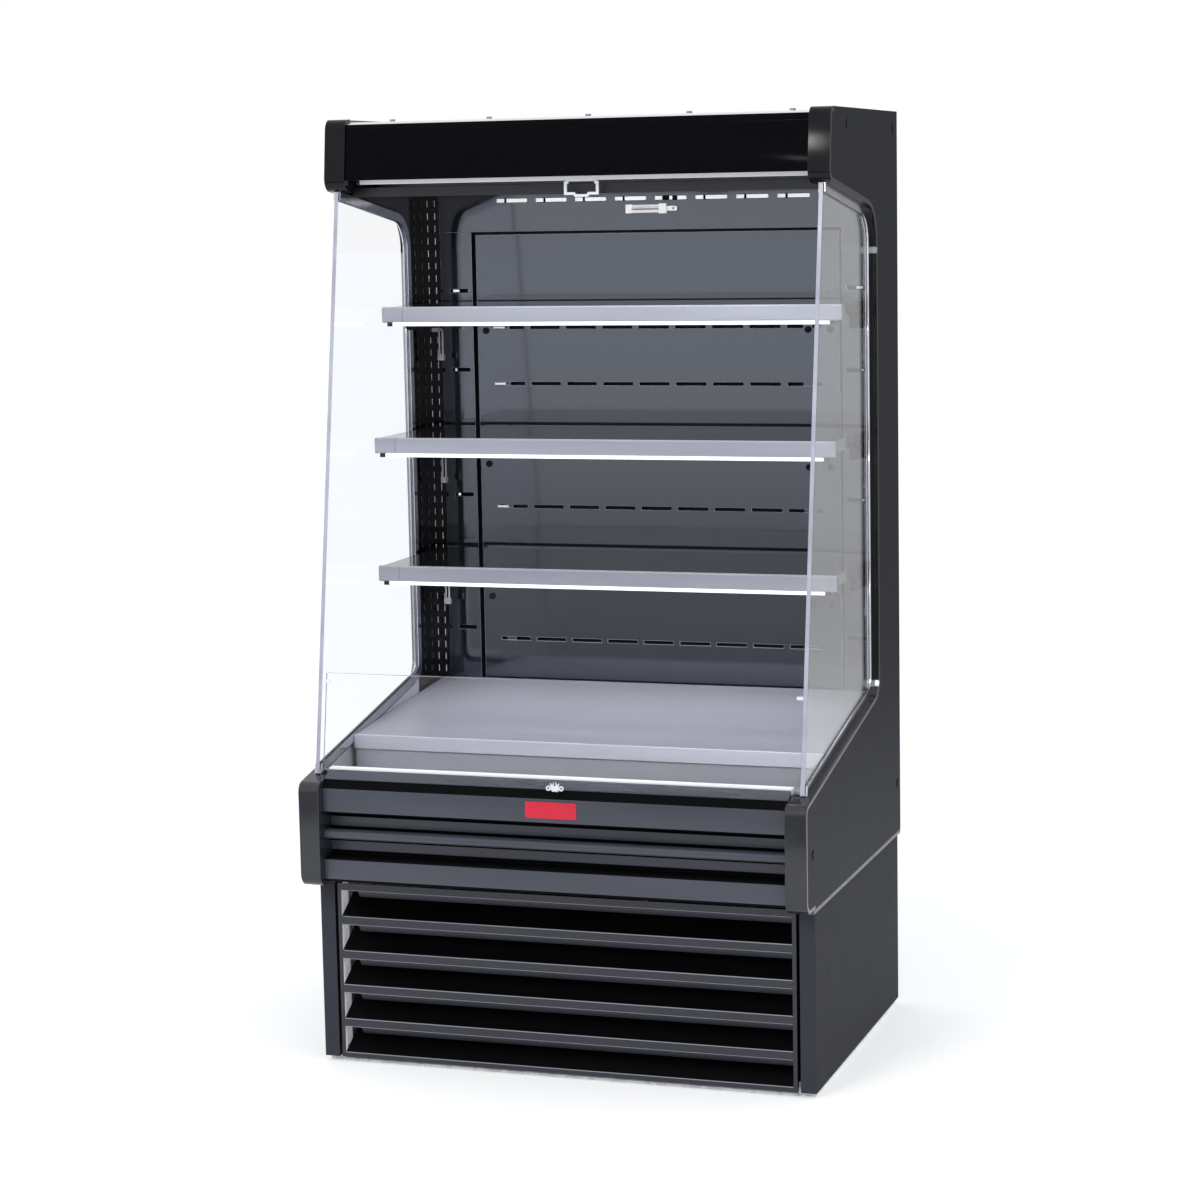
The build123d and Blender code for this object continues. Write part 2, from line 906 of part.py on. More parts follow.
def compressor():
    """Welded shell compressor on four rubber feet."""
    x = compressor_x
    depth = compressor_middle
    floor = base_floor
    radius = compressor_radius
    taper, taper_height = compressor_taper
    seam_low, seam_high = compressor_seam
    dome_inset = compressor_dome_inset
    seam = radius + compressor_seam_width
    shell = extrude(RegularPolygon(radius, shell_sides), amount=compressor_crown)
    dome = shell.faces().sort_by(Axis.Z)[-1]
    shell = chamfer(dome.edges(), compressor_crown - compressor_shoulder, dome_inset,
                    reference=dome)
    foot = shell.faces().sort_by(Axis.Z)[0]
    shell = chamfer(foot.edges(), taper_height, taper, reference=foot)
    shell += extrude(Pos(0, 0, seam_low) * RegularPolygon(seam, shell_sides),
                     amount=seam_high - seam_low)
    body = Pos(x, at(depth), floor + compressor_lift) * shell
    half_plate, half_plate_depth = compressor_plate
    plate_low, plate_high = compressor_plate_span
    plate = block(x - half_plate, x + half_plate, depth - half_plate_depth,
                  depth + half_plate_depth, floor + plate_low, floor + plate_high)
    body += chamfer(plate.edges().filter_by(Axis.Z), compressor_plate_corner)
    stand, stand_depth = compressor_stand
    body += block(x - stand, x + stand, depth - stand_depth, depth + stand_depth,
                  floor + plate_high, floor + compressor_stand_top)
    relay_near, relay_far = relay_reach
    relay_low, relay_high = relay_span
    body += block(x - relay_far, x - relay_near, depth - relay_half_depth,
                  depth + relay_half_depth, floor + relay_low, floor + relay_high)
    foot_x, foot_depth = compressor_foot_spacing
    half_foot = compressor_foot / 2
    for side in (-foot_x, foot_x):
        for end in (-foot_depth, foot_depth):
            body += block(x + side - half_foot, x + side + half_foot,
                          depth + end - half_foot, depth + end + half_foot,
                          floor, floor + plate_low)
    return body


def refrigerant_lines():
    """Copper lines of the condensing unit with the filter drier."""
    floor = base_floor
    x = compressor_x
    depth = compressor_middle
    crown = floor + compressor_lift + compressor_crown + shell_join
    corner_x, corner_depth = line_corner
    turn_x, turn_depth = line_turn
    end_out, end_front = line_end
    discharge = pipe([
        (x, depth, crown), (x, depth, floor + line_top),
        (corner_x, corner_depth, floor + line_top), (turn_x, turn_depth, floor + line_top),
        (turn_x, coil_back - line_rear_gap, coil_top - line_turn_drop),
        (coil_right + end_out, coil_front + end_front, coil_top - line_end_drop),
    ], line_radius, line_bend)
    offset_x, offset_depth = suction_offset
    riser_x, riser_depth = suction_riser
    riser_top = base_top + riser_reach
    suction = pipe([
        (x + offset_x, depth + offset_depth, crown),
        (x + offset_x, depth + offset_depth, floor + suction_top),
        (riser_x, riser_depth, floor + suction_top), (riser_x, riser_depth, riser_top),
    ], suction_radius, suction_bend)
    drier_top = floor + drier_length
    body = Pos(drier_x, at(drier_depth), floor) * RegularPolygon(drier_radius, motor_sides)
    body = extrude(body, amount=drier_length)
    body = chamfer(body.faces().sort_by(Axis.Z)[-1].edges(), drier_radius / 3)
    liquid_x, liquid_depth = liquid_riser
    liquid = pipe([
        (drier_x, drier_depth, drier_top - drier_neck),
        (drier_x, drier_depth, floor + liquid_top),
        (liquid_x, liquid_depth, floor + liquid_top), (liquid_x, liquid_depth, riser_top),
    ], line_radius, line_bend)
    return discharge, suction, body + liquid


def build_shell():
    """End panels, their moulded end caps, edge strips, clips and plugs."""
    side = side_outline()
    wrap = side - offset(side, amount=-trim_wrap)
    trim_back = column_front + trim_reach
    above = 2 * overall_height
    top_zone = side_band(-trim_wrap, cap_top_end, upper_clip_height, above)
    top_zone += side_band(-trim_wrap, trim_back, upper_clip_height,
                          soffit_front_height + trim_upper_rise)
    low_zone = outline([
        (-trim_wrap, 0), (cap_side_depth, 0), (cap_side_depth, body_bottom + cap_side_rise),
        (trim_back, body_bottom + trim_lower_rise), (trim_back, lower_clip_height),
        (-trim_wrap, lower_clip_height),
    ])
    strip_near = column_front - strip_half_depth
    strip_far = column_front + strip_half_depth
    strip_zone = side_band(strip_near, strip_far, lower_clip_height, upper_clip_height)
    clip_zone = Sketch() + [
        side_band(strip_near, strip_far, height - clip_height / 2, height + clip_height / 2)
        for height in (lower_clip_height, upper_clip_height)
    ]
    front_wall = side - offset(side, amount=-cap_wall)
    upper_front = side_band(0, cap_top_end, soffit_front_height - cap_upper_drop, above)
    lower_front = side_band(-trim_wrap, cap_side_depth, 0, body_bottom + cap_lower_rise)

    caps = []
    for zone, front in ((top_zone, upper_front), (low_zone, lower_front)):
        cap = along_x((wrap & zone) - clip_zone, inner_half, half_width)
        cap += along_x(front_wall & front, cap_inner, half_width)
        cap += along_x(side & front, cap_inner, cap_inner + cap_web)
        caps.append(cap)
    upper, lower = caps
    upper -= rod_x(cap_inner, cap_inner + cap_web, curtain_axis_depth, curtain_axis_height,
                   roller_pin_radius + run_gap)
    save("upper_end_caps", *both_sides(upper))
    save("lower_end_caps", *both_sides(lower))

    strip = along_x((wrap & strip_zone) - clip_zone, inner_half, half_width)
    save("edge_strips", *both_sides(strip))

    clip = along_x(wrap & clip_zone, inner_half, half_width)
    screws = []
    for x in canopy_screw_positions:
        head = Pos(x, at(canopy_screw_depth), canopy_top_height)
        head *= RegularPolygon(canopy_screw_radius, 6)
        screws.append(extrude(head, amount=overall_height - canopy_top_height))
    save("screws_and_clips", *screws, *both_sides(clip))

    trims = (wrap & top_zone) + (wrap & low_zone) + (wrap & strip_zone)
    trims = trims + (front_wall & upper_front) + (front_wall & lower_front)
    panel = along_x(side - trims, inner_half, half_width)
    save("end_panel_left", mirror(panel, about=Plane.YZ))
    save("end_panel_right", panel)

    plugs = []
    for depth, height in side_plug_places:
        disc = Pos(at(depth), height) * RegularPolygon(side_plug_radius, side_plug_sides)
        plugs += both_sides(along_x(disc, half_width, half_width + side_plug_height))
    for x in duct_plug_columns:
        for height in duct_plug_rows:
            disc = Pos(x, height) * RegularPolygon(duct_plug_radius, duct_plug_sides)
            plugs.append(along_y(disc, centre_face - duct_plug_height, centre_face))
    save("panel_plugs", *plugs)


def build_rear():
    """Insulated rear wall, air duct panels, uprights and thermometer."""
    wall = block(-inner_half, inner_half, duct_back, overall_depth, body_bottom, overall_height)
    save("rear_wall", wall)

    duct_skin = duct_face + sheet
    top_panel = block(-inner_half, inner_half, duct_face, duct_skin, centre_top, duct_top)
    top_panel += block(-inner_half, inner_half, duct_face, duct_back,
                       centre_top, centre_top + sheet)
    top_slot = Rectangle(top_slot_length, top_slot_width)
    top_slot = chamfer(top_slot.vertices(), top_slot_corner)
    for index in range(top_slot_count):
        x = (index - top_slot_count // 2 + 1 + top_slot_shift) * top_slot_pitch
        top_panel -= along_y(Pos(x, top_slot_height) * top_slot, duct_face, duct_skin)

    strip = block(centre_half_width, inner_half, duct_face, duct_skin, duct_bottom, centre_top)
    strip += block(centre_half_width, centre_half_width + sheet, duct_face, duct_back,
                   duct_bottom, centre_top)
    slot_middle = centre_half_width + strip_slot_reach
    for height in strip_slot_heights:
        strip -= block(slot_middle - strip_slot_length / 2, slot_middle + strip_slot_length / 2,
                       duct_face, duct_skin,
                       height - strip_slot_width / 2, height + strip_slot_width / 2)
    save("duct_surround", top_panel, *both_sides(strip))

    half = centre_half_width - centre_gap
    centre_skin = centre_face + sheet
    panel = block(-half, half, centre_face, centre_skin, duct_bottom, centre_top - centre_gap)
    for height in air_slot_rows:
        for index in range(air_slot_count):
            x = (index - air_slot_count // 2) * air_slot_pitch
            panel -= block(x - air_slot_length / 2, x + air_slot_length / 2,
                           centre_face, centre_skin,
                           height - air_slot_height / 2, height + air_slot_height / 2)
    rib_outer = half - duct_rib_edge
    rib = block(rib_outer - duct_rib_width, rib_outer, centre_skin, duct_back,
                duct_bottom + duct_rib_end, centre_top - duct_rib_end)
    for side_rib in both_sides(rib):
        panel += side_rib
    save("duct_centre_panel", panel)

    upright_inner = inner_half - upright_width
    upright_skin = upright_face + sheet
    channel = block(upright_inner, inner_half, upright_face, duct_face, upright_bottom, duct_top)
    channel -= block(upright_inner + sheet, inner_half - sheet, upright_skin, duct_face,
                     upright_bottom, duct_top)
    middle = inner_half - upright_width / 2
    for index in range(int((duct_top - lowest_slot) // slot_pitch)):
        low = lowest_slot + index * slot_pitch
        for side in (-slot_column_spacing / 2, slot_column_spacing / 2):
            x = middle + side
            channel -= block(x - slot_width / 2, x + slot_width / 2,
                             upright_face, upright_skin, low, low + slot_height)
    save("shelf_uprights", *both_sides(channel))
    save("thermometer", thermometer())


def thermometer():
    """Tube thermometer held by two collars, with a hanging tab."""
    left, right = thermometer_span
    tall, thick = thermometer_body
    back = duct_face - thermometer_gap
    low = thermometer_height - tall / 2
    body = block(left, right, back - thick, back, low, low + tall)
    body = chamfer(body.edges().filter_by(Axis.Y), thermometer_corner)
    tab_end, tab_tall, tab_thick = thermometer_tab
    tab_low = thermometer_height - tab_tall / 2
    tab = block(right, tab_end, back - tab_thick, back, tab_low, tab_low + tab_tall)
    tab_corners = tab.edges().filter_by(Axis.Y).sort_by(Axis.X)[-2:]
    tab = chamfer(tab_corners, thermometer_tab_corner)
    hole_x, hole_radius = thermometer_hole
    hole = Pos(hole_x, thermometer_height) * RegularPolygon(hole_radius, 8)
    tab -= along_y(hole, back - tab_thick, back)
    holder = body + tab
    for collar_left, collar_right, collar_tall in thermometer_collars:
        holder += block(collar_left, collar_right, duct_face - thermometer_collar_depth,
                        duct_face, thermometer_height - collar_tall / 2,
                        thermometer_height + collar_tall / 2)
    return holder


def build_glass():
    """Side glass in its channels and the riser glass above the bumper."""
    pane_face = window_outline(channel_floor + fit_gap) & behind_glass_edge(0)
    save("side_glass", *both_sides(along_x(pane_face, pane_inner, pane_outer)))

    ring = window_outline(run_gap) - window_outline(channel_depth)
    slot = window_outline(channel_floor) - window_outline(channel_depth)
    ring = ring & behind_glass_edge(channel_set_back)
    channel = along_x(ring, channel_inner, pane_outer + fit_gap + 2 * channel_wall)
    channel -= along_x(slot, pane_inner - fit_gap, pane_outer + fit_gap)
    save("glass_channels", *both_sides(channel))

    foot = riser_foot + riser_lift
    riser_near = riser_set_back
    riser_far = riser_set_back + riser_thickness
    riser_face = outline([
        (glass_front(foot, riser_near), foot), (glass_front(foot, riser_far), foot),
        (glass_front(riser_top, riser_far), riser_top),
        (glass_front(riser_top, riser_near), riser_top),
    ])
    save("riser_glass", along_x(riser_face, -channel_inner, channel_inner))

    holder_front = glass_front(riser_foot, riser_near) - riser_holder_front
    holder_back = glass_front(riser_foot, riser_far) + riser_holder_back
    holder = block(-cap_inner, cap_inner, holder_front, holder_back,
                   tub_rim, tub_rim + riser_holder_height)
    slot_top = foot + riser_slot_reach
    holder -= along_x(outline([
        (glass_front(foot, riser_near - fit_gap), foot),
        (glass_front(foot, riser_far + fit_gap), foot),
        (glass_front(slot_top, riser_far + fit_gap), slot_top),
        (glass_front(slot_top, riser_near - fit_gap), slot_top),
    ]), -cap_inner, cap_inner)
    clip_width, clip_depth, clip_tall = riser_clip
    clip_middle = riser_top - riser_clip_drop
    clip_back = glass_front(clip_middle, riser_near) - riser_clip_gap
    clip = block(channel_inner - clip_width, pane_inner - fit_gap,
                 clip_back - clip_depth, clip_back,
                 clip_middle - clip_tall / 2, clip_middle + clip_tall / 2)
    save("riser_holder", holder, *both_sides(clip))


def build_bumper():
    """Bumper moulding with its bar, badge plate and curtain hook."""
    half = cap_inner - fit_gap
    face = bumper_face
    back = bumper_recess
    bar = bumper_bar_height
    bar_seat = face + 2 * bumper_bar_radius
    upper_head, upper_foot = upper_band
    lower_head, lower_foot = lower_band
    lip_depth, lip_height = bumper_lip
    slant_depth, slant_height = bumper_slant
    corners = [
        (lip_depth, lip_height), (slant_depth, slant_height), (slant_depth, bumper_slant_foot),
        (face, upper_head), (face, upper_foot), (face + band_return, upper_band_foot),
        (back, upper_band_foot),
    ]
    radii = [0, 0, 0, band_radius, band_radius, 0, 0]
    upper_rib_head, upper_rib_foot = upper_rib
    lower_rib_head, lower_rib_foot = lower_rib
    corners += [
        (back, upper_rib_head), (bumper_rib_face, upper_rib_head),
        (bumper_rib_face, upper_rib_foot), (back, upper_rib_foot),
        (back, bar + bumper_stem_half), (bar_seat, bar + bumper_stem_half),
        (bar_seat, bar - bumper_stem_half), (back, bar - bumper_stem_half),
        (back, lower_rib_head), (bumper_rib_face, lower_rib_head),
        (bumper_rib_face, lower_rib_foot), (back, lower_rib_foot),
    ]
    radii += [0] * 12
    corners += [
        (back, lower_band_head), (face + band_return, lower_band_head), (face, lower_head),
        (face, lower_foot), (face + foot_return, bumper_foot), (bumper_back, bumper_foot),
        (bumper_back, tub_rim), (lip_depth, tub_rim),
    ]
    radii += [0, 0, band_radius, foot_radius, 0, 0, 0, 0]
    moulding = along_x(outline(corners, radii), -half, half)
    wall = bumper_wall
    moulding -= along_x(outline([
        (face + wall, upper_head), (face + wall, upper_band_foot + 2 * wall),
        (back, upper_band_foot + 2 * wall), (back, slant_height - 2 * wall),
        (slant_depth + wall, slant_height - 2 * wall),
    ]), -half, half)
    moulding -= along_x(side_band(
        face + 2 * wall, back, bumper_foot + wall, lower_band_head - 2 * wall,
    ), -half, half)
    save("bumper_moulding", moulding)

    nose_middle = face + bumper_bar_radius
    nose = rod_x(-half, half, nose_middle, bar, bumper_bar_radius)
    nose += block(-half, half, nose_middle, bar_seat, bar - bumper_bar_radius,
                  bar + bumper_bar_radius)
    save("bumper_bar", nose)

    plate = Rectangle(badge_width, badge_height)
    plate = chamfer(plate.vertices(), badge_corner)
    save("badge_plate", along_y(Pos(badge_offset, badge_middle) * plate,
                                face - badge_thickness, face))
    save("curtain_hook", curtain_hook())


def curtain_hook():
    """Small crown between two curls that holds the curtain's handle."""
    curl_middle = (hook_width / 2 - curl_radius, curl_radius)
    curl = RegularPolygon(curl_radius, curl_sides) - RegularPolygon(curl_hole, curl_sides)
    other_half = [(-x, z) for x, z in reversed(crown_half)]
    crown = make_face(Polyline(*crown_half, *other_half, close=True))
    arm_middle, arm_height_mm = hook_arm
    arm_length = curl_middle[0] - curl_hole - 1
    arm = Pos(arm_length / 2, arm_middle) * Rectangle(arm_length, arm_height_mm)
    wing = Pos(*curl_middle) * curl + arm
    front = crown + wing + mirror(wing, about=Plane.YZ)
    hook = along_y(Pos(hook_offset, hook_foot) * front, hook_depth - hook_thickness, hook_depth)
    tab_half, tab_front, tab_back = hook_tab
    tab_low, tab_high = hook_tab_span
    hook += block(hook_offset - tab_half, hook_offset + tab_half, hook_depth - tab_front,
                  hook_depth + tab_back, hook_foot + tab_low, hook_foot + tab_high)
    return hook


def build_tub():
    """Insulated tub with the deck and the air return."""
    inside = bumper_back + tub_front_wall
    face = outline([
        (bumper_back, body_bottom), (duct_back, body_bottom), (duct_back, tub_base),
        (inside, tub_base), (inside, tub_rim), (bumper_back, tub_rim),
    ])
    tub = along_x(face, -inner_half, inner_half)
    for (x, depth), radius in ((suction_riser, suction_radius), (liquid_riser, line_radius)):
        hole = Pos(x, at(depth), body_bottom) * RegularPolygon(radius + line_hole_gap, 8)
        tub -= extrude(hole, amount=tub_floor)
    save("insulated_tub", tub)

    deck_half = channel_inner - fit_gap
    rear = duct_face - deck_rear_gap
    skin = outline([
        (deck_front, deck_height(deck_front)), (rear, deck_height(rear)),
        (rear, deck_height(rear) - sheet), (deck_front + sheet, deck_front_height - sheet),
        (deck_front + sheet, deck_front_height - deck_flange),
        (deck_front, deck_front_height - deck_flange),
    ])
    deck = along_x(skin, -deck_half, deck_half)
    flange = outline([
        (deck_front, deck_height(deck_front)), (rear, deck_height(rear)),
        (rear, deck_height(rear) - deck_side_flange),
        (deck_front, deck_front_height - deck_side_flange),
    ])
    for side_flange in both_sides(along_x(flange, deck_half - sheet, deck_half)):
        deck += side_flange
    save("deck_pan", deck)

    rail_bottom = deck_front_height - deck_flange - 1
    rail_front = deck_front - deck_rail_thickness
    rail = outline([
        (rail_front, rail_bottom + deck_rail_bevel), (deck_front, rail_bottom),
        (deck_front, deck_front_height + 1), (rail_front, deck_front_height),
    ])
    save("deck_price_rail", along_x(rail, -deck_half, deck_half))
    build_tub_fans(deck_half - sheet - fit_gap)
    save("evaporator_coil", finned_coil(
        -cooling_coil_half, cooling_coil_half, *cooling_coil_span, tub_base,
        cooling_coil_top, cooling_coil_fins, cooling_coil_fill,
    ))

    grille_half = inner_half - fit_gap
    grille_top = return_grille_height + sheet
    grille = block(-grille_half, grille_half, inside, deck_front,
                   return_grille_height, grille_top)
    grille += block(-grille_half, grille_half, inside, inside + sheet,
                    return_grille_height - return_grille_flange, return_grille_height)
    for index in range(return_slots):
        x = (index - (return_slots - 1) / 2) * return_slot_pitch
        for share in return_slot_rows:
            middle = inside + share * (deck_front - inside)
            grille -= block(x - return_slot_length / 2, x + return_slot_length / 2,
                            middle - return_slot_width / 2, middle + return_slot_width / 2,
                            return_grille_height, grille_top)
    save("return_air_grille", grille)


def build_tub_fans(plate_half):
    """Fan plate under the deck's front edge, with its motors and fan wheels."""
    front = deck_front + sheet + fan_plate_gap
    top = deck_height(front) - sheet - fit_gap
    lip_back = front + fan_plate_lip
    lip_top = top + fan_plate_lip * deck_slope
    plate = block(-plate_half, plate_half, front, front + sheet, tub_base, top - fan_plate_drop)
    plate += along_x(outline([
        (front, top), (lip_back, lip_top), (lip_back, lip_top - sheet), (front, top - sheet),
    ]), -plate_half, plate_half)
    height = tub_base + tub_fan_height
    motor_near, motor_far = tub_motor_span
    arm_near, arm_far = tub_motor_arm
    arm_end = tub_fan_radius + tub_motor_reach
    low = height - tub_motor_arm_half
    high = height + tub_motor_arm_half
    arm = block(0, arm_end, front + arm_near, front + arm_far, low, high)
    arm += block(arm_end - sheet * 2, arm_end, front + sheet, front + arm_far, low, high)
    body = Pos(0, height) * RegularPolygon(tub_motor_radius, motor_sides)
    motor = along_y(body, front + motor_near, front + motor_far)
    motor += rod_y(0, front, front + motor_near, height, tub_fan_pin)
    for side_arm in both_sides(arm):
        motor += side_arm
    wheel = Pos(0, 0, height) * axial_fan(
        tub_fan_radius, tub_fan_hub, tub_fan_depth, front + tub_fan_set_back,
        tub_fan_pin + run_gap,
    )
    motors = []
    for name, x in (("left", -tub_fan_spacing / 2), ("right", tub_fan_spacing / 2)):
        hole = Pos(x, height) * RegularPolygon(tub_fan_radius + tub_fan_hole_gap, shell_sides)
        plate -= along_y(hole, front, front + sheet)
        motors.append(Pos(x, 0, 0) * motor)
        save(f"evaporator_fan_{name}", Pos(x, 0, 0) * wheel)
    save("evaporator_fan_plate", plate, *motors)


def build_shelf(number, slots, front):
    """One shelf: pan, bracket pair, price rail and light."""
    top = shelf_height(slots)
    half = shelf_half_width
    pan_half = half - shelf_end_clearance
    pan_front = front + rail_thickness
    pan = block(-pan_half, pan_half, pan_front, shelf_rear, top - sheet, top)
    pan += block(-pan_half, pan_half, pan_front, pan_front + sheet, top - shelf_flange, top)
    pan += block(-pan_half, pan_half, shelf_rear - sheet, shelf_rear,
                 top - shelf_rear_flange, top)
    edge = block(pan_half - sheet, pan_half, pan_front, shelf_rear, top - shelf_flange, top)
    for side_edge in both_sides(edge):
        pan += side_edge
    save(f"shelf_{number}_pan", pan)

    bottom = top - rail_face_height
    bevel, bevel_rise = rail_foot_bevel
    rail_side = outline([
        (front, bottom + bevel_rise), (front + bevel, bottom), (pan_front, bottom),
        (pan_front, top + rail_head), (front + bevel, top + rail_head),
        (front, top - rail_head_drop),
    ])
    front_wall, back_wall = rail_wall
    rail_side -= side_band(front + front_wall, pan_front - back_wall,
                           bottom + rail_rim, top - rail_rim)
    joint = rail_end_length - half
    save(
        f"shelf_{number}_price_rail",
        along_x(rail_side, -half, joint - rail_joint_gap),
        along_x(rail_side, joint, half),
    )

    arm = shelf_bracket(top)
    outer = bracket_middle + bracket_thickness / 2
    inner = bracket_middle - bracket_thickness / 2
    save(f"shelf_{number}_brackets", *both_sides(along_x(arm, inner, outer)))

    low = bottom - light_height
    light_front = front + light_set_back
    light_back = front + light_depth
    light_side = outline([
        (light_front, bottom), (light_front, low + light_bevel),
        (light_front + light_bevel, low), (light_back, low), (light_back, bottom),
    ])
    end = block(light_half, light_half + light_end_length, light_front + 1, light_back - 1,
                low - light_end_drop, bottom)
    plug_back = upright_face - lead_reach
    plug_side = inner - fit_gap
    plug = block(plug_side - plug_width, plug_side, plug_back - plug_length, plug_back,
                 plug_height(top) - plug_thickness / 2, plug_height(top) + plug_thickness / 2)
    save(f"shelf_{number}_light", along_x(light_side, -light_half, light_half),
         *both_sides(end), *both_sides(plug))


def shelf_bracket(top):
    """Side outline of a bracket that hooks into two slots of the upright."""
    slot_bottom = top - hook_drop
    front = upright_face - bracket_length
    rear = upright_face - fit_gap
    behind = upright_face + sheet + hook_behind
    neck = slot_bottom + fit_gap
    tongue = neck - hook_tongue
    tab = slot_bottom - slot_pitch + lower_tab_lift
    step = shelf_rear - sheet - bracket_step_gap
    seat = top - sheet
    arm = outline([
        (front, seat), (front, top - bracket_height + bracket_corner),
        (front + bracket_corner, top - bracket_height),
        (rear, top - bracket_height - bracket_drop), (rear, tab), (behind, tab),
        (behind, tab + lower_tab_height), (rear, tab + lower_tab_height), (rear, neck),
        (behind, neck), (behind, tongue), (behind + hook_sheet, tongue),
        (behind + hook_sheet, neck + hook_neck), (step, neck + hook_neck), (step, seat),
    ])
    notch = upright_face - bracket_length / 3
    return arm - side_band(notch - bracket_notch / 2, notch + bracket_notch / 2,
                           top - bracket_height - bracket_drop, top - bracket_height / 2)


def build_leads():
    """Short twin leads from each shelf light down to a socket on the upright."""
    leads = []
    middle = bracket_middle - bracket_thickness / 2 - fit_gap - plug_width / 2
    plug_back = upright_face - lead_reach
    wall = upright_face - lead_wall_gap
    for slots in shelf_slots:
        start = plug_height(shelf_height(slots))
        low = start - lead_drop
        socket = block(middle - socket_width / 2, middle + socket_width / 2,
                       upright_face - socket_depth, upright_face, low - socket_width, low)
        leads += both_sides(socket)
        for x in (middle - lead_spacing / 2, middle + lead_spacing / 2):
            leads += both_sides(pipe([
                (x, plug_back + seat_gap, start), (x, wall, start), (x, wall, low),
            ], lead_radius, lead_corner))
    save("shelf_light_leads", *leads)


def build_canopy():
    """Canopy with its front panel, roof, soffit and discharge grille."""
    top = canopy_top_height
    front = cap_top_end
    lip_back = front + canopy_lip
    roof = block(-inner_half, inner_half, lip_back, duct_back, top - canopy_thickness, top)
    roof += block(-cap_inner, cap_inner, front, lip_back, top - canopy_lip_thickness, top)

    low = soffit_front_height + canopy_face_low
    high = canopy_face_high
    skin = canopy_skin
    head = canopy_face + canopy_lean
    shoulder, shoulder_drop = canopy_shoulder
    lip_radius, bend_radius = canopy_outer_radii
    inner_radius = canopy_inner_radius
    back = canopy_face + canopy_return
    corners = [
        (back, low), (canopy_face, low), (head, high), (head + shoulder, top - shoulder_drop),
        (front, top), (front, top - skin), (head + shoulder + skin, top - shoulder_drop - skin),
        (head + skin, high - 1), (canopy_face + skin, low + skin), (back, low + skin),
    ]
    radii = [0, lip_radius, bend_radius, bend_radius, 0, 0, inner_radius, inner_radius, 0, 0]
    panel = along_x(outline(corners, radii), fit_gap - cap_inner, cap_inner - fit_gap)
    for groove_height in canopy_grooves:
        depth = canopy_face + canopy_lean * (groove_height - low) / (high - low)
        groove = Pos(at(depth - canopy_groove_set_back), groove_height)
        groove *= RegularPolygon(canopy_groove_radius, 6)
        panel -= along_x(groove, -cap_inner, cap_inner)
    save("canopy_front", panel)

    grille_front, grille_back = discharge_span
    grille_top = discharge_low + discharge_height
    half = channel_inner - fit_gap
    grille = block(-half, half, grille_front, grille_back, discharge_low, grille_top)
    pitch = 2 * (half - discharge_edge) / discharge_cells
    for index in range(discharge_cells):
        x = discharge_edge - half + (index + 0.5) * pitch
        cell_half = (pitch - discharge_wall) / 2
        grille -= block(x - cell_half, x + cell_half, grille_front + discharge_rim,
                        grille_back - discharge_rim, discharge_low, grille_top)
    save("discharge_grille", grille)

    soffit = block(-half, half, grille_back, upright_face - fit_gap,
                   discharge_low, discharge_low + sheet)
    soffit += block(-half, half, grille_back, grille_back + sheet,
                    discharge_low, top - canopy_thickness)
    save("canopy_top", roof, soffit)


def build_curtain():
    """Night curtain's roller, pull bar and handle."""
    axis = (curtain_axis_depth, curtain_axis_height)
    core_half = curtain_roll_half + curtain_core_reach
    pin_half = cap_inner + cap_web
    roll = rod_x(-curtain_roll_half, curtain_roll_half, *axis, curtain_roll_radius)
    core = Pos(at(curtain_axis_depth), curtain_axis_height)
    core *= RegularPolygon(curtain_core_radius, knob_sides)
    roll += along_x(core, -core_half, core_half)
    roll += rod_x(-pin_half, pin_half, *axis, roller_pin_radius)
    save("curtain_roller", roll)

    bar_depth, bar_height = pull_bar_middle
    low = bar_height - pull_bar_height / 2
    high = bar_height + pull_bar_height / 2
    near = bar_depth - pull_bar_depth / 2
    far = bar_depth + pull_bar_depth / 2
    bevel = pull_bar_bevel
    section = outline([
        (near, low + bevel), (near, high - bevel), (near + bevel, high), (far, high),
        (far, low), (near + bevel, low),
    ])
    bar = along_x(section, -pull_bar_half_length, pull_bar_half_length)
    hem_front = curtain_axis_depth + curtain_roll_radius + fit_gap
    bar += block(-curtain_roll_half, curtain_roll_half, hem_front, hem_front + curtain_hem,
                 high - 1, curtain_axis_height)
    disc = Pos(at(bar_depth), bar_height) * RegularPolygon(knob_radius, knob_sides)
    knob = along_x(disc, pull_bar_half_length, pull_bar_half_length + knob_length)
    knob = chamfer(knob.faces().sort_by(Axis.X)[-1].edges(), knob_bevel)
    save("curtain_pull_bar", bar, *both_sides(knob))

    gap = handle_clip_gap
    wall = handle_clip_wall
    clip_half = handle_clip_half
    clip = side_band(near - gap - wall, far + gap + wall, low - gap - wall, high + gap + wall)
    clip -= side_band(near - gap, far + gap, low - gap, high + gap)
    clip -= side_band(near + wall, far + gap + wall, high, high + gap + wall)
    clip -= side_band(far, far + gap + wall, low + handle_clip_lip, high + gap + wall)
    seat = low - 2 * (gap + wall)
    out = handle_width / 2 - handle_bar / 2
    bottom = low - handle_drop + handle_bar / 2
    path = Polyline(
        (2 - clip_half, seat), (-out, seat), (-out, bottom),
        (-handle_notch_half - handle_notch, bottom),
        (-handle_notch_half, bottom - handle_notch), (handle_notch_half, bottom - handle_notch),
        (handle_notch_half + handle_notch, bottom), (out, bottom), (out, seat),
        (clip_half - 2, seat),
    )
    loop = trace(path, line_width=handle_bar)
    handle = along_x(clip, -clip_half, clip_half)
    handle += along_y(loop, bar_depth - handle_thickness / 2, bar_depth + handle_thickness / 2)
    save("pull_handle", Pos(handle_offset, 0, 0) * handle)


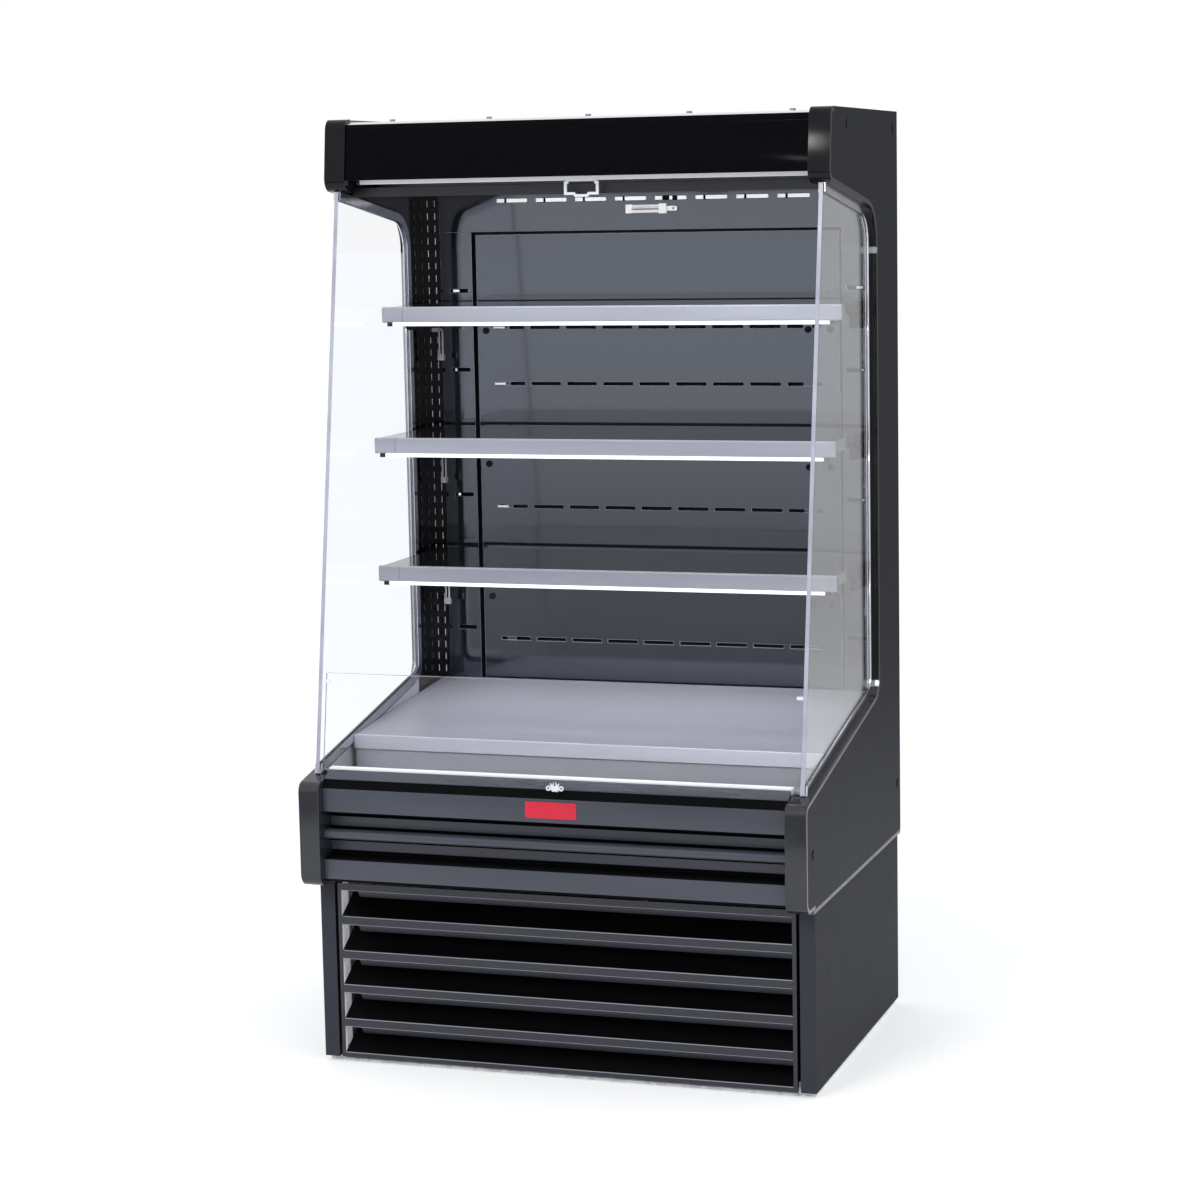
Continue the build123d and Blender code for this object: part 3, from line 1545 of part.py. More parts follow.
os.makedirs("parts", exist_ok=True)
build_base()
build_louvre()
build_machine()
build_shell()
build_rear()
build_glass()
build_bumper()
build_tub()
for shelf_number, (slots, front) in enumerate(zip(shelf_slots, shelf_fronts), start=1):
    build_shelf(shelf_number, slots, front)
build_leads()
build_canopy()
build_curtain()
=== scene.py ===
# %% [markdown]
# An open merchandiser is a cabinet of black painted steel with a glass end on each side, three
# shelves, a sloped deck and a louvred base. The frame below brings in its solid parts, each at its
# real size and place. This lesson gives them rounded edges, finishes, light and a camera.

# %% Load the frame
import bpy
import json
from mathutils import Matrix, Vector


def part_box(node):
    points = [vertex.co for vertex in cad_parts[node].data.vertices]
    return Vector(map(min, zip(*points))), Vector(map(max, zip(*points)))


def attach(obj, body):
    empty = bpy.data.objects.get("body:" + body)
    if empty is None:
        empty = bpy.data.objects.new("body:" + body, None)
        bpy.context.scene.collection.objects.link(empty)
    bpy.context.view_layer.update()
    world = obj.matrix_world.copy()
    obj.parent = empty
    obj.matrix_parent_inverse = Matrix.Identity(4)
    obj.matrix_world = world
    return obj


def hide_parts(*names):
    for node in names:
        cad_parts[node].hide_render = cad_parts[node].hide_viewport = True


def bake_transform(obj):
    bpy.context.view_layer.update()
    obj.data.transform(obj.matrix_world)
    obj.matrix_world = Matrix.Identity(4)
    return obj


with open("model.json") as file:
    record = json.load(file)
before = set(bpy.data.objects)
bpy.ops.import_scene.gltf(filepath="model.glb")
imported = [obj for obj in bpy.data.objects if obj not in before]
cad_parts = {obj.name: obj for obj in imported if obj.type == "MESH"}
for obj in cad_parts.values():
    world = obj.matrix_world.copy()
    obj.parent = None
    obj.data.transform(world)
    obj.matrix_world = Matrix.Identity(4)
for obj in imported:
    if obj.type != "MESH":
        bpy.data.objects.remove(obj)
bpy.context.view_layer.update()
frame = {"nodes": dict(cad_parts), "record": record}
print("parts loaded:", len(frame["nodes"]))

# %% [markdown]
# Blender's own modules do the rest. A small table gives the body that carries a part, and one helper
# makes an object out of a bmesh.

# %% Modules and helpers
import json
import math
import bmesh
import bpy
from mathutils import Matrix, Vector

record = frame["record"]
body_of = {node: body for body, nodes in record["behaviour"]["bodies"].items() for node in nodes}
sharp_angle = math.radians(35)


def finish_piece(name, shape, body, materials):
    """Turn a bmesh into an object that rides on a body, or on none yet."""
    mesh = bpy.data.meshes.new(name)
    shape.to_mesh(mesh)
    shape.free()
    for material in materials:
        mesh.materials.append(material)
    mesh.shade_smooth()
    mesh.set_sharp_from_angle(angle=sharp_angle)
    piece = bpy.data.objects.new(name, mesh)
    bpy.context.scene.collection.objects.link(piece)
    if body:
        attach(piece, body)
    return piece


# %% [markdown]
# The photograph was taken from the right of the cabinet's middle and from just above its centre,
# with a long lens. The camera's place and turn were worked out from the cabinet's own corners, so
# the render can be laid over the photograph.

# %% Camera
camera_place = Vector((1.7927, -5.4010, 1.6556))
camera_azimuth = math.radians(18.489)
camera_fall = math.radians(7.831)
camera_roll = math.radians(-1.096)
lens_length = 88.51
sensor_wide = 36

backward = Vector((
    math.sin(camera_azimuth) * math.cos(camera_fall),
    -math.cos(camera_azimuth) * math.cos(camera_fall),
    math.sin(camera_fall),
))
level_right = Vector((0, 0, 1)).cross(backward).normalized()
level_up = backward.cross(level_right)
rightward = level_right * math.cos(camera_roll) + level_up * math.sin(camera_roll)
upward = level_up * math.cos(camera_roll) - level_right * math.sin(camera_roll)

camera = bpy.data.objects.new("camera", bpy.data.cameras.new("camera"))
bpy.context.scene.collection.objects.link(camera)
camera.matrix_world = Matrix.Translation(camera_place) @ Matrix((
    (rightward.x, upward.x, backward.x, 0),
    (rightward.y, upward.y, backward.y, 0),
    (rightward.z, upward.z, backward.z, 0),
    (0, 0, 0, 1),
))
camera.data.sensor_width = sensor_wide
camera.data.lens = lens_length
bpy.context.scene.camera = camera
print("camera distance:", round(camera_place.length, 2), "m")

# %% [markdown]
# A studio picture of a black cabinet needs a white room, which the world gives. Light Path tells
# the world who asks: the camera, the gloss and the glass see plain white, and every other ray gets
# the softer light that falls on the cabinet.

# %% White room
bpy.context.scene.view_settings.view_transform = "Standard"


def seen_directly(tree):
    """One for rays of the camera, of gloss and of glass, and nought for the rest."""
    rays = tree.nodes.new("ShaderNodeLightPath")
    answer = rays.outputs["Is Camera Ray"]
    for kind in ("Is Glossy Ray", "Is Transmission Ray"):
        either = tree.nodes.new("ShaderNodeMath")
        either.operation = "MAXIMUM"
        tree.links.new(answer, either.inputs[0])
        tree.links.new(rays.outputs[kind], either.inputs[1])
        answer = either.outputs[0]
    return answer


world = bpy.data.worlds.new("white room")
bpy.context.scene.world = world
world.use_nodes = True
room = world.node_tree
room.nodes.clear()
room_light = room.nodes.new("ShaderNodeBackground")
room_light.inputs["Color"].default_value = (0.93, 0.96, 1.0, 1)
room_light.inputs["Strength"].default_value = 0.75
room_white = room.nodes.new("ShaderNodeBackground")
room_white.inputs["Color"].default_value = (1, 1, 1, 1)
room_choice = room.nodes.new("ShaderNodeMixShader")
room_output = room.nodes.new("ShaderNodeOutputWorld")
room.links.new(seen_directly(room), room_choice.inputs["Fac"])
room.links.new(room_light.outputs[0], room_choice.inputs[1])
room.links.new(room_white.outputs[0], room_choice.inputs[2])
room.links.new(room_choice.outputs[0], room_output.inputs["Surface"])
print("room light:", room_light.inputs["Strength"].default_value)

# %% [markdown]
# The floor is a plain pale sheet. The light on it is too weak to make it white, so it glows a
# little for the camera, the gloss and the glass. The shadow of the cabinet stays, because the glow
# is the same all over.

# %% Floor
half_unit = 0.5


def flat_square(name, size, place, facing, material):
    """A flat sheet with its middle at a place, facing a direction."""
    shape = bmesh.new()
    bmesh.ops.create_grid(shape, size=half_unit)
    mesh = bpy.data.meshes.new(name)
    shape.to_mesh(mesh)
    shape.free()
    mesh.materials.append(material)
    sheet = bpy.data.objects.new(name, mesh)
    bpy.context.scene.collection.objects.link(sheet)
    turn = Vector(facing).to_track_quat("Z", "Y").to_matrix().to_4x4()
    grow = Matrix.Diagonal((size[0], size[1], 1, 1))
    sheet.matrix_world = Matrix.Translation(place) @ turn @ grow
    return sheet


floor_paint = bpy.data.materials.new("white floor")
floor_paint.use_nodes = True
floor_tree = floor_paint.node_tree
floor_shader = floor_tree.nodes["Principled BSDF"]
floor_shader.inputs["Base Color"].default_value = (0.93, 0.93, 0.93, 1)
floor_shader.inputs["Roughness"].default_value = 0.9
floor_shader.inputs["Specular IOR Level"].default_value = 0.0
floor_shader.inputs["Emission Color"].default_value = (1, 1, 1, 1)
floor_glow = floor_tree.nodes.new("ShaderNodeMath")
floor_glow.operation = "MULTIPLY"
floor_glow.inputs[1].default_value = 0.36
floor_tree.links.new(seen_directly(floor_tree), floor_glow.inputs[0])
floor_tree.links.new(floor_glow.outputs[0], floor_shader.inputs["Emission Strength"])
floor_side = 160
floor_drop = 0.0005
flat_square("floor", (floor_side, floor_side), (0, 0, -floor_drop), (0, 0, 1), floor_paint)
print("floor glow:", floor_glow.inputs[1].default_value)

# %% [markdown]
# Gloss shows whatever stands in front of it. A dark card low in front makes the lower panels
# darker than the upper ones. A grey card behind and to the right keeps the white room out of the
# side panel and the end pane, which are seen almost edge on. A small bright card puts the
# highlight on the upper end cap. Each card fades out at its edges, so no hard line shows, and
# the camera never sees it. The low card also shows to rays that have crossed the riser's glass,
# because the panels behind the riser mirror the room through it.

# %% Cards for the reflections
def reflected_card(name, size, place, facing, brightness, fade):
    """A card with soft edges, which only gloss sees. Its fade is a share of each side."""
    paint = bpy.data.materials.new(name)
    paint.use_nodes = True
    tree = paint.node_tree
    tree.nodes.clear()
    coordinate = tree.nodes.new("ShaderNodeTexCoord")
    split = tree.nodes.new("ShaderNodeSeparateXYZ")
    tree.links.new(coordinate.outputs["Object"], split.inputs[0])
    cover = None
    for axis, reach in zip(("X", "Y"), fade):
        distance = tree.nodes.new("ShaderNodeMath")
        distance.operation = "ABSOLUTE"
        tree.links.new(split.outputs[axis], distance.inputs[0])
        edge = tree.nodes.new("ShaderNodeMapRange")
        edge.interpolation_type = "SMOOTHSTEP"
        edge.inputs["From Min"].default_value = half_unit
        edge.inputs["From Max"].default_value = half_unit - reach
        tree.links.new(distance.outputs[0], edge.inputs["Value"])
        if cover is None:
            cover = edge.outputs["Result"]
        else:
            both = tree.nodes.new("ShaderNodeMath")
            both.operation = "MULTIPLY"
            tree.links.new(cover, both.inputs[0])
            tree.links.new(edge.outputs["Result"], both.inputs[1])
            cover = both.outputs[0]
    clear = tree.nodes.new("ShaderNodeBsdfTransparent")
    shine = tree.nodes.new("ShaderNodeEmission")
    shine.inputs["Strength"].default_value = brightness
    choice = tree.nodes.new("ShaderNodeMixShader")
    result = tree.nodes.new("ShaderNodeOutputMaterial")
    tree.links.new(cover, choice.inputs["Fac"])
    tree.links.new(clear.outputs[0], choice.inputs[1])
    tree.links.new(shine.outputs[0], choice.inputs[2])
    tree.links.new(choice.outputs[0], result.inputs["Surface"])
    card = flat_square(name, size, place, facing, paint)
    card.visible_camera = False
    card.visible_diffuse = False
    card.visible_shadow = False
    card.visible_transmission = False
    return card


to_the_back = (0, 1, 0)
to_the_front = (0, -1, 0)
front_card = reflected_card(
    "card before the lower shelves", size=(3.4, 2.7), place=(-0.95, -2.7, -0.1),
    facing=to_the_back, brightness=0.35, fade=(0.15, 0.426),
)
front_card.visible_transmission = True
reflected_card(
    "card behind the right panel", size=(3.0, 3.0), place=(1.6, 1.1, 1.5),
    facing=to_the_front, brightness=0.35, fade=(0.1, 0.25),
)
reflected_card(
    "bright card for the upper cap", size=(0.09, 0.22), place=(-0.195, -2.6, 2.39),
    facing=to_the_back, brightness=34.0, fade=(0.45, 0.45),
)
print("cards hung")

# %% [markdown]
# Soft square lamps stand for the studio's boxes. The gloss doesn't see them, or each would be a
# hard white square on the paint. Small lamps under the canopy, under each shelf and above the deck
# light the inside, where the room's light can't reach, as the cabinet's own strips do.

# %% Lamps
def soft_lamp(name, size, power, place, target):
    """A soft lamp aimed at a point, which gloss and camera don't see."""
    lamp = bpy.data.lights.new(name, "AREA")
    lamp.shape = "RECTANGLE"
    lamp.size = size[0]
    lamp.size_y = size[1]
    lamp.energy = power
    holder = bpy.data.objects.new(name, lamp)
    bpy.context.scene.collection.objects.link(holder)
    aim = Vector(place) - Vector(target)
    holder.matrix_world = Matrix.Translation(place) @ aim.to_track_quat("Z", "Y").to_matrix().to_4x4()
    holder.visible_glossy = False
    holder.visible_camera = False
    return holder


soft_lamp("front lamp", size=(1.6, 1.6), power=60, place=(-1.2, -4.2, 3.2), target=(0, 0, 0.9))
soft_lamp("side lamp", size=(1.4, 1.4), power=25, place=(3.6, -1.2, 2.6), target=(0.4, 0, 0.8))
soft_lamp("canopy lamp", size=(0.86, 0.10), power=2.2, place=(0, -0.03, 1.645),
          target=(0, 0.24, 1.40))
shelf_lamp_heights = (1.375, 1.121, 0.867)
lamp_inset = 0.02
aim_inset = 0.17
aim_drop = 0.22
for number, height in enumerate(shelf_lamp_heights, 1):
    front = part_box(f"shelf_{number}_light")[0].y
    soft_lamp(f"shelf lamp {number}", size=(0.86, 0.02), power=0.8,
              place=(0, front + lamp_inset, height),
              target=(0, front + aim_inset, height - aim_drop))
soft_lamp("deck lamp", size=(0.86, 0.24), power=1.0, place=(0, 0.17, 0.845),
          target=(0, 0.19, 0.64))

# %% [markdown]
# Every finish on the cabinet is a Principled shader with something that varies: paint has a fine
# orange peel, moulded plastic has faint drags, and rolled rails have streaks along their length.
# One helper builds the common part, and each finish then adds its own texture.

# %% The common part of a finish
def shader_of(material):
    """The Principled shader of a material."""
    return material.node_tree.nodes["Principled BSDF"]


def set_shader(material, **values):
    """Set sockets of the shader by their names, with _ for each space."""
    for socket, value in values.items():
        shader_of(material).inputs[socket.replace("_", " ")].default_value = value


def new_finish(name, colour, roughness, **extra):
    """Material with its own shader and the constants that don't vary."""
    material = bpy.data.materials.new(name)
    material.use_nodes = True
    set_shader(material, Base_Color=(*colour, 1), Roughness=roughness, **extra)
    material.diffuse_color = (*colour, 1)
    return material


def texture_space(material, scale):
    """Object coordinates, stretched by a scale along each axis."""
    tree = material.node_tree
    coordinate = tree.nodes.new("ShaderNodeTexCoord")
    mapping = tree.nodes.new("ShaderNodeMapping")
    mapping.inputs["Scale"].default_value = scale
    tree.links.new(coordinate.outputs["Object"], mapping.inputs["Vector"])
    return mapping.outputs["Vector"]


def noise(material, scale, stretch=(1, 1, 1), detail=3.0):
    """Grey noise in object space."""
    tree = material.node_tree
    texture = tree.nodes.new("ShaderNodeTexNoise")
    texture.inputs["Scale"].default_value = scale
    texture.inputs["Detail"].default_value = detail
    tree.links.new(texture_space(material, stretch), texture.inputs["Vector"])
    return texture.outputs["Fac"]


ramp_ends = (0.3, 0.7)


def vary_colour(material, mask, dark, bright):
    """Let the base colour move between two shades with a mask."""
    tree = material.node_tree
    ramp = tree.nodes.new("ShaderNodeValToRGB")
    for element, position, colour in zip(ramp.color_ramp.elements, ramp_ends, (dark, bright)):
        element.position = position
        element.color = (*colour, 1)
    tree.links.new(mask, ramp.inputs["Fac"])
    tree.links.new(ramp.outputs["Color"], shader_of(material).inputs["Base Color"])


def vary_roughness(material, mask, low, high):
    """Let the roughness move between two values with a mask."""
    tree = material.node_tree
    span = tree.nodes.new("ShaderNodeMapRange")
    span.inputs["To Min"].default_value = low
    span.inputs["To Max"].default_value = high
    tree.links.new(mask, span.inputs["Value"])
    tree.links.new(span.outputs["Result"], shader_of(material).inputs["Roughness"])


def add_bump(material, mask, strength, distance):
    """Raise the surface a little with a mask."""
    tree = material.node_tree
    bump = tree.nodes.new("ShaderNodeBump")
    bump.inputs["Strength"].default_value = strength
    bump.inputs["Distance"].default_value = distance
    tree.links.new(mask, bump.inputs["Height"])
    tree.links.new(bump.outputs["Normal"], shader_of(material).inputs["Normal"])


def shade(colour, factor):
    """A colour made darker or brighter."""
    return tuple(min(1.0, part * factor) for part in colour)


print("helpers for finishes ready")

# %% [markdown]
# The cabinet's outside and its inner panels are powder-coated steel. Powder coat has an orange
# peel about two millimetres across and a very slight mottling, so both follow noise.

# %% Painted steel
mottle_scale = 9
haze_scale = 30
peel_scale = 420
peel_detail = 1.5
peel_depth = 0.0004


def painted_steel(name, colour, roughness, gloss, peel=0.10):
    """Powder coat with orange peel."""
    material = new_finish(name, colour, roughness, Specular_IOR_Level=gloss)
    vary_colour(material, noise(material, mottle_scale), shade(colour, 0.97), shade(colour, 1.03))
    vary_roughness(material, noise(material, haze_scale), roughness * 0.93, roughness * 1.07)
    add_bump(material, noise(material, peel_scale, detail=peel_detail), peel, peel_depth)
    return material


outer_paint = painted_steel("outer black paint", (0.019, 0.020, 0.027), 0.50, gloss=0.06)
base_paint = painted_steel("base black paint", (0.021, 0.022, 0.029), 0.50, gloss=0.04)
# The front faces of the base get a lighter copy of the base paint: painted light, where light falls on
# them.
lit_front_paint = painted_steel("base paint painted lighter on the front", (0.052, 0.053, 0.064), 0.50, gloss=0.04)
liner_paint = painted_steel("gloss liner", (0.004, 0.004, 0.006), 0.04, gloss=0.5, peel=0.0)
lip_paint = painted_steel("louvre lip paint", (0.020, 0.022, 0.033), 0.26, gloss=0.5, peel=0.2)
# The louvre's slopes get a near-black copy of its paint: painted shade.
shaded_slope_paint = painted_steel("louvre slope in painted shade", (0.0015, 0.0015, 0.002), 0.45, gloss=0.06)
# A lighter paint for the bevels of the shell's edges: a painted sheen.
outer_edge_sheen = painted_steel("painted sheen on an outer fold", (0.038, 0.040, 0.048), 0.25, gloss=0.4)
# A pale paint for the bevels and bands of inner edges: a painted highlight.
inner_edge_highlight = painted_steel("painted highlight on an inner fold", (0.30, 0.31, 0.35), 0.25, gloss=0.5)
# A near-black paint for the bumper's grooves and the line under its lip: painted shade.
groove_shade_paint = painted_steel("painted shade in a groove", (0.003, 0.003, 0.004), 0.60, gloss=0.05)
deck_paint = painted_steel("grey deck paint", (0.265, 0.27, 0.325), 0.40, gloss=0.4, peel=0.08)
# The arm gets a lighter grey than the deck's: painted light, as little light reaches it.
lit_arm_paint = painted_steel("lighter grey on the arm as painted light", (0.42, 0.43, 0.49), 0.40, gloss=0.4, peel=0.08)
plate_paint = painted_steel("pale fan plate paint", (0.33, 0.34, 0.39), 0.40, gloss=0.4, peel=0.08)
canopy_paint = painted_steel("canopy gloss", (0.002, 0.002, 0.0035), 0.10, gloss=0.04, peel=0.03)
inner_paint = painted_steel("inner gloss paint", (0.008, 0.010, 0.014), 0.07, gloss=0.5, peel=0.003)
set_shader(inner_paint, IOR=2.21, Specular_Tint=(0.805, 0.863, 1.0, 1))
print("painted finishes ready")

# %% [markdown]
# The end caps and the bumper are moulded and extruded plastic. They are glossier than the paint,
# with long faint ripples along the extrusion.

# %% Moulded plastic
blotch_scale = 14
drag_scale = 22
ripple_scale = 6
ripple_strength = 0.08
ripple_depth = 0.002


def moulded(name, colour, roughness, stretch=(1, 1, 1), mottle=0.15):
    """Glossy plastic with slow ripples and a mottled colour."""
    material = new_finish(name, colour, roughness, Specular_IOR_Level=0.5)
    vary_colour(material, noise(material, blotch_scale, stretch),
                shade(colour, 1 - mottle), shade(colour, 1 + mottle))
    vary_roughness(material, noise(material, drag_scale, stretch), roughness * 0.7, roughness * 1.3)
    add_bump(material, noise(material, ripple_scale, stretch), ripple_strength, ripple_depth)
    return material


cap_plastic = moulded("upper cap plastic", (0.004, 0.004, 0.006), 0.08)
set_shader(cap_plastic, Specular_IOR_Level=0.2)
low_cap_plastic = moulded("lower cap plastic", (0.024, 0.025, 0.032), 0.12)
bumper_plastic = moulded("bumper plastic", (0.054, 0.060, 0.080), 0.30, stretch=(0.15, 1, 1))
rail_plastic = moulded("price rail plastic", (0.35, 0.36, 0.42), 0.34, stretch=(0.08, 1, 1))
deck_rail_plastic = moulded("deck rail plastic", (0.52, 0.53, 0.62), 0.40, stretch=(0.08, 1, 1))
black_plastic = moulded("black plastic", (0.008, 0.008, 0.010), 0.35)
joint_plastic = moulded("joint trim", (0.075, 0.078, 0.09), 0.30, stretch=(0.3, 1, 1))
# The polished edges of the panes get an opaque pale finish: painted light for the glow they catch.
edge_glow_plastic = moulded("acrylic edge painted pale as light", (0.47, 0.48, 0.57), 0.15)
red_plastic = moulded("red plate", (0.72, 0.012, 0.045), 0.25, mottle=0.04)
lead_plastic = moulded("grey lead", (0.40, 0.40, 0.43), 0.30)
glowing_foam = moulded("white foam with painted glow", (0.86, 0.86, 0.88), 0.60)
glowing_bar_white = moulded("white pull bar with painted glow", (0.88, 0.88, 0.90), 0.25, mottle=0.02)
# The foam and the white plastic of the bar, handle and holders glow a little: painted light.
for lit, glow_strength in ((glowing_foam, 0.30), (glowing_bar_white, 0.08)):
    set_shader(lit, Emission_Color=(0.95, 0.96, 1.0, 1), Emission_Strength=glow_strength)
print("plastic finishes ready")

# %% [markdown]
# Zinc on the floor frame cools into crystals, which a Voronoi texture gives. Bright trim is a plain
# smooth metal with a hint of haze. Steel that is bare where it was cut gets a pale, hardly metallic
# finish, partly its own colour and partly a painted glint. The inner sides of the louvre's stiles lie
# in narrow gaps that keep the room's light out, so they get a faint glow of their own, which is
# painted light.

# %% Metals
crystal_scale = 90
zinc_dark = (0.70, 0.71, 0.73)
zinc_bright = (0.88, 0.89, 0.91)
zinc = new_finish("galvanised steel", zinc_dark, 0.42, Metallic=0.15)
crystals = zinc.node_tree.nodes.new("ShaderNodeTexVoronoi")
crystals.inputs["Scale"].default_value = crystal_scale
zinc.node_tree.links.new(texture_space(zinc, (1, 1, 1)), crystals.inputs["Vector"])
spangle = zinc.node_tree.nodes.new("ShaderNodeSeparateColor")
zinc.node_tree.links.new(crystals.outputs["Color"], spangle.inputs["Color"])
vary_colour(zinc, spangle.outputs["Red"], zinc_dark, zinc_bright)
vary_roughness(zinc, spangle.outputs["Green"], 0.3, 0.55)

tarnish_scale = 40
polish_scale = 60


def metal(name, colour, roughness, stretch=(1, 1, 1)):
    """Bare metal with a faint haze."""
    material = new_finish(name, colour, roughness, Metallic=1.0)
    vary_colour(material, noise(material, tarnish_scale, stretch),
                shade(colour, 0.93), shade(colour, 1.05))
    vary_roughness(material, noise(material, polish_scale, stretch),
                   roughness * 0.6, roughness * 1.4)
    return material


bright_trim = metal("bright trim", (0.66, 0.67, 0.71), 0.14, stretch=(0.3, 1, 1))
dark_chrome = metal("dark chrome", (0.34, 0.35, 0.37), 0.16)
# Cut steel gets a pale, hardly metallic finish: partly its own colour, partly a painted glint.
bare_steel_and_glint = metal("bare cut steel with painted glint", (0.85, 0.86, 0.89), 0.45)
set_shader(bare_steel_and_glint, Metallic=0.2)
# The stiles' insides glow a little: painted light, standing for the light that the narrow gaps keep
# out.
glowing_stile_steel = metal("bare stile steel with painted glow", (0.88, 0.89, 0.92), 0.45)
set_shader(glowing_stile_steel, Metallic=0.2, Emission_Color=(1, 1, 1, 1), Emission_Strength=0.22)
aluminium = metal("mill aluminium", (0.78, 0.79, 0.81), 0.32, stretch=(0.05, 1, 1))
copper = metal("copper line", (0.72, 0.40, 0.26), 0.30)
print("metal finishes ready")

# %% [markdown]
# A thermometer's scale is printed. Its ticks are a saw wave along the scale, cut off to thin
# lines, and a second mask keeps them in a band above the tube.

# %% Printed scale
scale_white = (0.85, 0.85, 0.87)
tick_black = (0.08, 0.08, 0.10)
scale_paint = new_finish("thermometer scale", scale_white, 0.4)
scale_tree = scale_paint.node_tree
scale_split = scale_tree.nodes.new("ShaderNodeSeparateXYZ")
scale_tree.links.new(texture_space(scale_paint, (1, 1, 1)), scale_split.inputs[0])


def scale_step(operation, left, right):
    """One step of arithmetic on the scale's coordinates."""
    step = scale_tree.nodes.new("ShaderNodeMath")
    step.operation = operation
    for socket, value in zip(step.inputs, (left, right)):
        if isinstance(value, (int, float)):
            socket.default_value = value
        else:
            scale_tree.links.new(value, socket)
    return step.outputs[0]


tick_pitch = 0.0025
tick_share = 0.22
tick_low = 1.6262
tick_high = 1.6295
along = scale_step("FRACT", scale_step("DIVIDE", scale_split.outputs["X"], tick_pitch), 0)
tick = scale_step("LESS_THAN", along, tick_share)
above = scale_step("GREATER_THAN", scale_split.outputs["Z"], tick_low)
below = scale_step("LESS_THAN", scale_split.outputs["Z"], tick_high)
ticks = scale_step("MULTIPLY", tick, scale_step("MULTIPLY", above, below))
vary_colour(scale_paint, ticks, scale_white, tick_black)
print("ticks every", tick_pitch, "m")

# %% [markdown]
# The end panes and the riser are clear acrylic sheet. It is thick, so its cut edges glow pale, and
# light that has passed through it turns a little blue.

# %% Clear acrylic
wipe_scale = 3


def clear_sheet(name, bend):
    """Clear sheet that bends light by an index; the higher it is, the more the sheet mirrors."""
    material = new_finish(name, (0.985, 0.99, 1.0), 0.0, Transmission_Weight=1.0, IOR=bend)
    vary_roughness(material, noise(material, wipe_scale), 0.0, 0.02)
    return material


acrylic = clear_sheet("clear acrylic", bend=1.45)
left_acrylic = clear_sheet("clear acrylic against the light", bend=1.12)
riser_acrylic = clear_sheet("riser acrylic", bend=1.30)
print("acrylic ready")

# %% [markdown]
# Under each price rail a strip of light shines through a milky cover. The cover isn't evenly
# bright, so a slow noise along the strip varies its glow.

# %% Light strip
glow = new_finish("strip light", (0.85, 0.86, 0.88), 0.4)
set_shader(glow, Emission_Color=(0.96, 0.98, 1.0, 1))
lamp_scale = 5
strength = glow.node_tree.nodes.new("ShaderNodeMapRange")
strength.inputs["To Min"].default_value = 0.85
strength.inputs["To Max"].default_value = 1.1
glow.node_tree.links.new(noise(glow, lamp_scale), strength.inputs["Value"])
glow.node_tree.links.new(strength.outputs["Result"], shader_of(glow).inputs["Emission Strength"])
print("strip light ready")

# %% [markdown]
# The night curtain is a woven foil cloth. Two wave textures, one along and one across, make its
# weave.

# %% Curtain cloth
thread_scale = 260
thread_drift = 0.6
weave_strength = 0.3
weave_depth = 0.0004
cloth = new_finish("curtain cloth", (0.62, 0.64, 0.67), 0.55, Sheen_Weight=0.3)
cloth_tree = cloth.node_tree
threads = []
for direction in ("X", "Z"):
    wave = cloth_tree.nodes.new("ShaderNodeTexWave")
    wave.bands_direction = direction
    wave.inputs["Scale"].default_value = thread_scale
    wave.inputs["Distortion"].default_value = thread_drift
    cloth_tree.links.new(texture_space(cloth, (1, 1, 1)), wave.inputs["Vector"])
    threads.append(wave)
weave = cloth_tree.nodes.new("ShaderNodeMath")
weave.operation = "MULTIPLY"
cloth_tree.links.new(threads[0].outputs["Fac"], weave.inputs[0])
cloth_tree.links.new(threads[1].outputs["Fac"], weave.inputs[1])
vary_colour(cloth, weave.outputs[0], (0.48, 0.50, 0.53), (0.70, 0.72, 0.75))
add_bump(cloth, weave.outputs[0], weave_strength, weave_depth)
print("cloth ready")

# %% [markdown]
# A folded sheet or a moulding never has a knife edge: a small radius catches the light and draws
# the bright line that shows in the photograph. The part's mesh is copied, its doubled corners are
# merged, flat triangles are joined again, and a Bevel modifier rounds the sharp edges.

# %% Round the corners of the solid parts
same_corner = 0.00001
flat_angle = math.radians(0.6)
fold_radius = 0.0006


def rounded(node, materials, choose=None, radius=fold_radius, segments=2, cuts=(), edge_finish=-1):
    """
    A copy of a part with rounded edges that stands for the part. Planes in cuts split its faces, and
    choose picks the finish of a face by its place and its facing. An edge_finish other than -1 gives
    the bevels a finish of their own, which paints a highlight or sheen on them.
    """
    shape = bmesh.new()
    shape.from_mesh(frame["nodes"][node].data)
    bmesh.ops.remove_doubles(shape, verts=shape.verts, dist=same_corner)
    bmesh.ops.dissolve_limit(
        shape, angle_limit=flat_angle, verts=shape.verts, edges=shape.edges,
    )
    for place, across in cuts:
        everything = list(shape.verts) + list(shape.edges) + list(shape.faces)
        bmesh.ops.bisect_plane(shape, geom=everything, plane_co=place, plane_no=across)
    if choose:
        for face in shape.faces:
            face.material_index = choose(face.calc_center_median(), face.normal)
    piece = finish_piece(node + "_rounded", shape, body_of[node], materials)
    edge = piece.modifiers.new("edge", "BEVEL")
    edge.width = radius
    edge.segments = segments
    edge.limit_method = "ANGLE"
    edge.angle_limit = sharp_angle
    edge.material = edge_finish
    edge.harden_normals = True
    edge.use_clamp_overlap = True
    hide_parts(node)
    return piece


print("helper ready")

# %% [markdown]
# The outer shell comes first. One part often has more than one finish: an end panel is satin outside
# and mirror black inside, and in front of the shelves its inner face is grey like the deck, in a
# lighter grey than the deck's, which is painted light. The place and the facing of each face of the
# copy decide which finish it gets.

# %% Shell
panel_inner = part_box("rear_wall")[1].x
window_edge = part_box("edge_strips")[0].y
arm_top = 0.70
slack = 0.001
mostly = 0.8


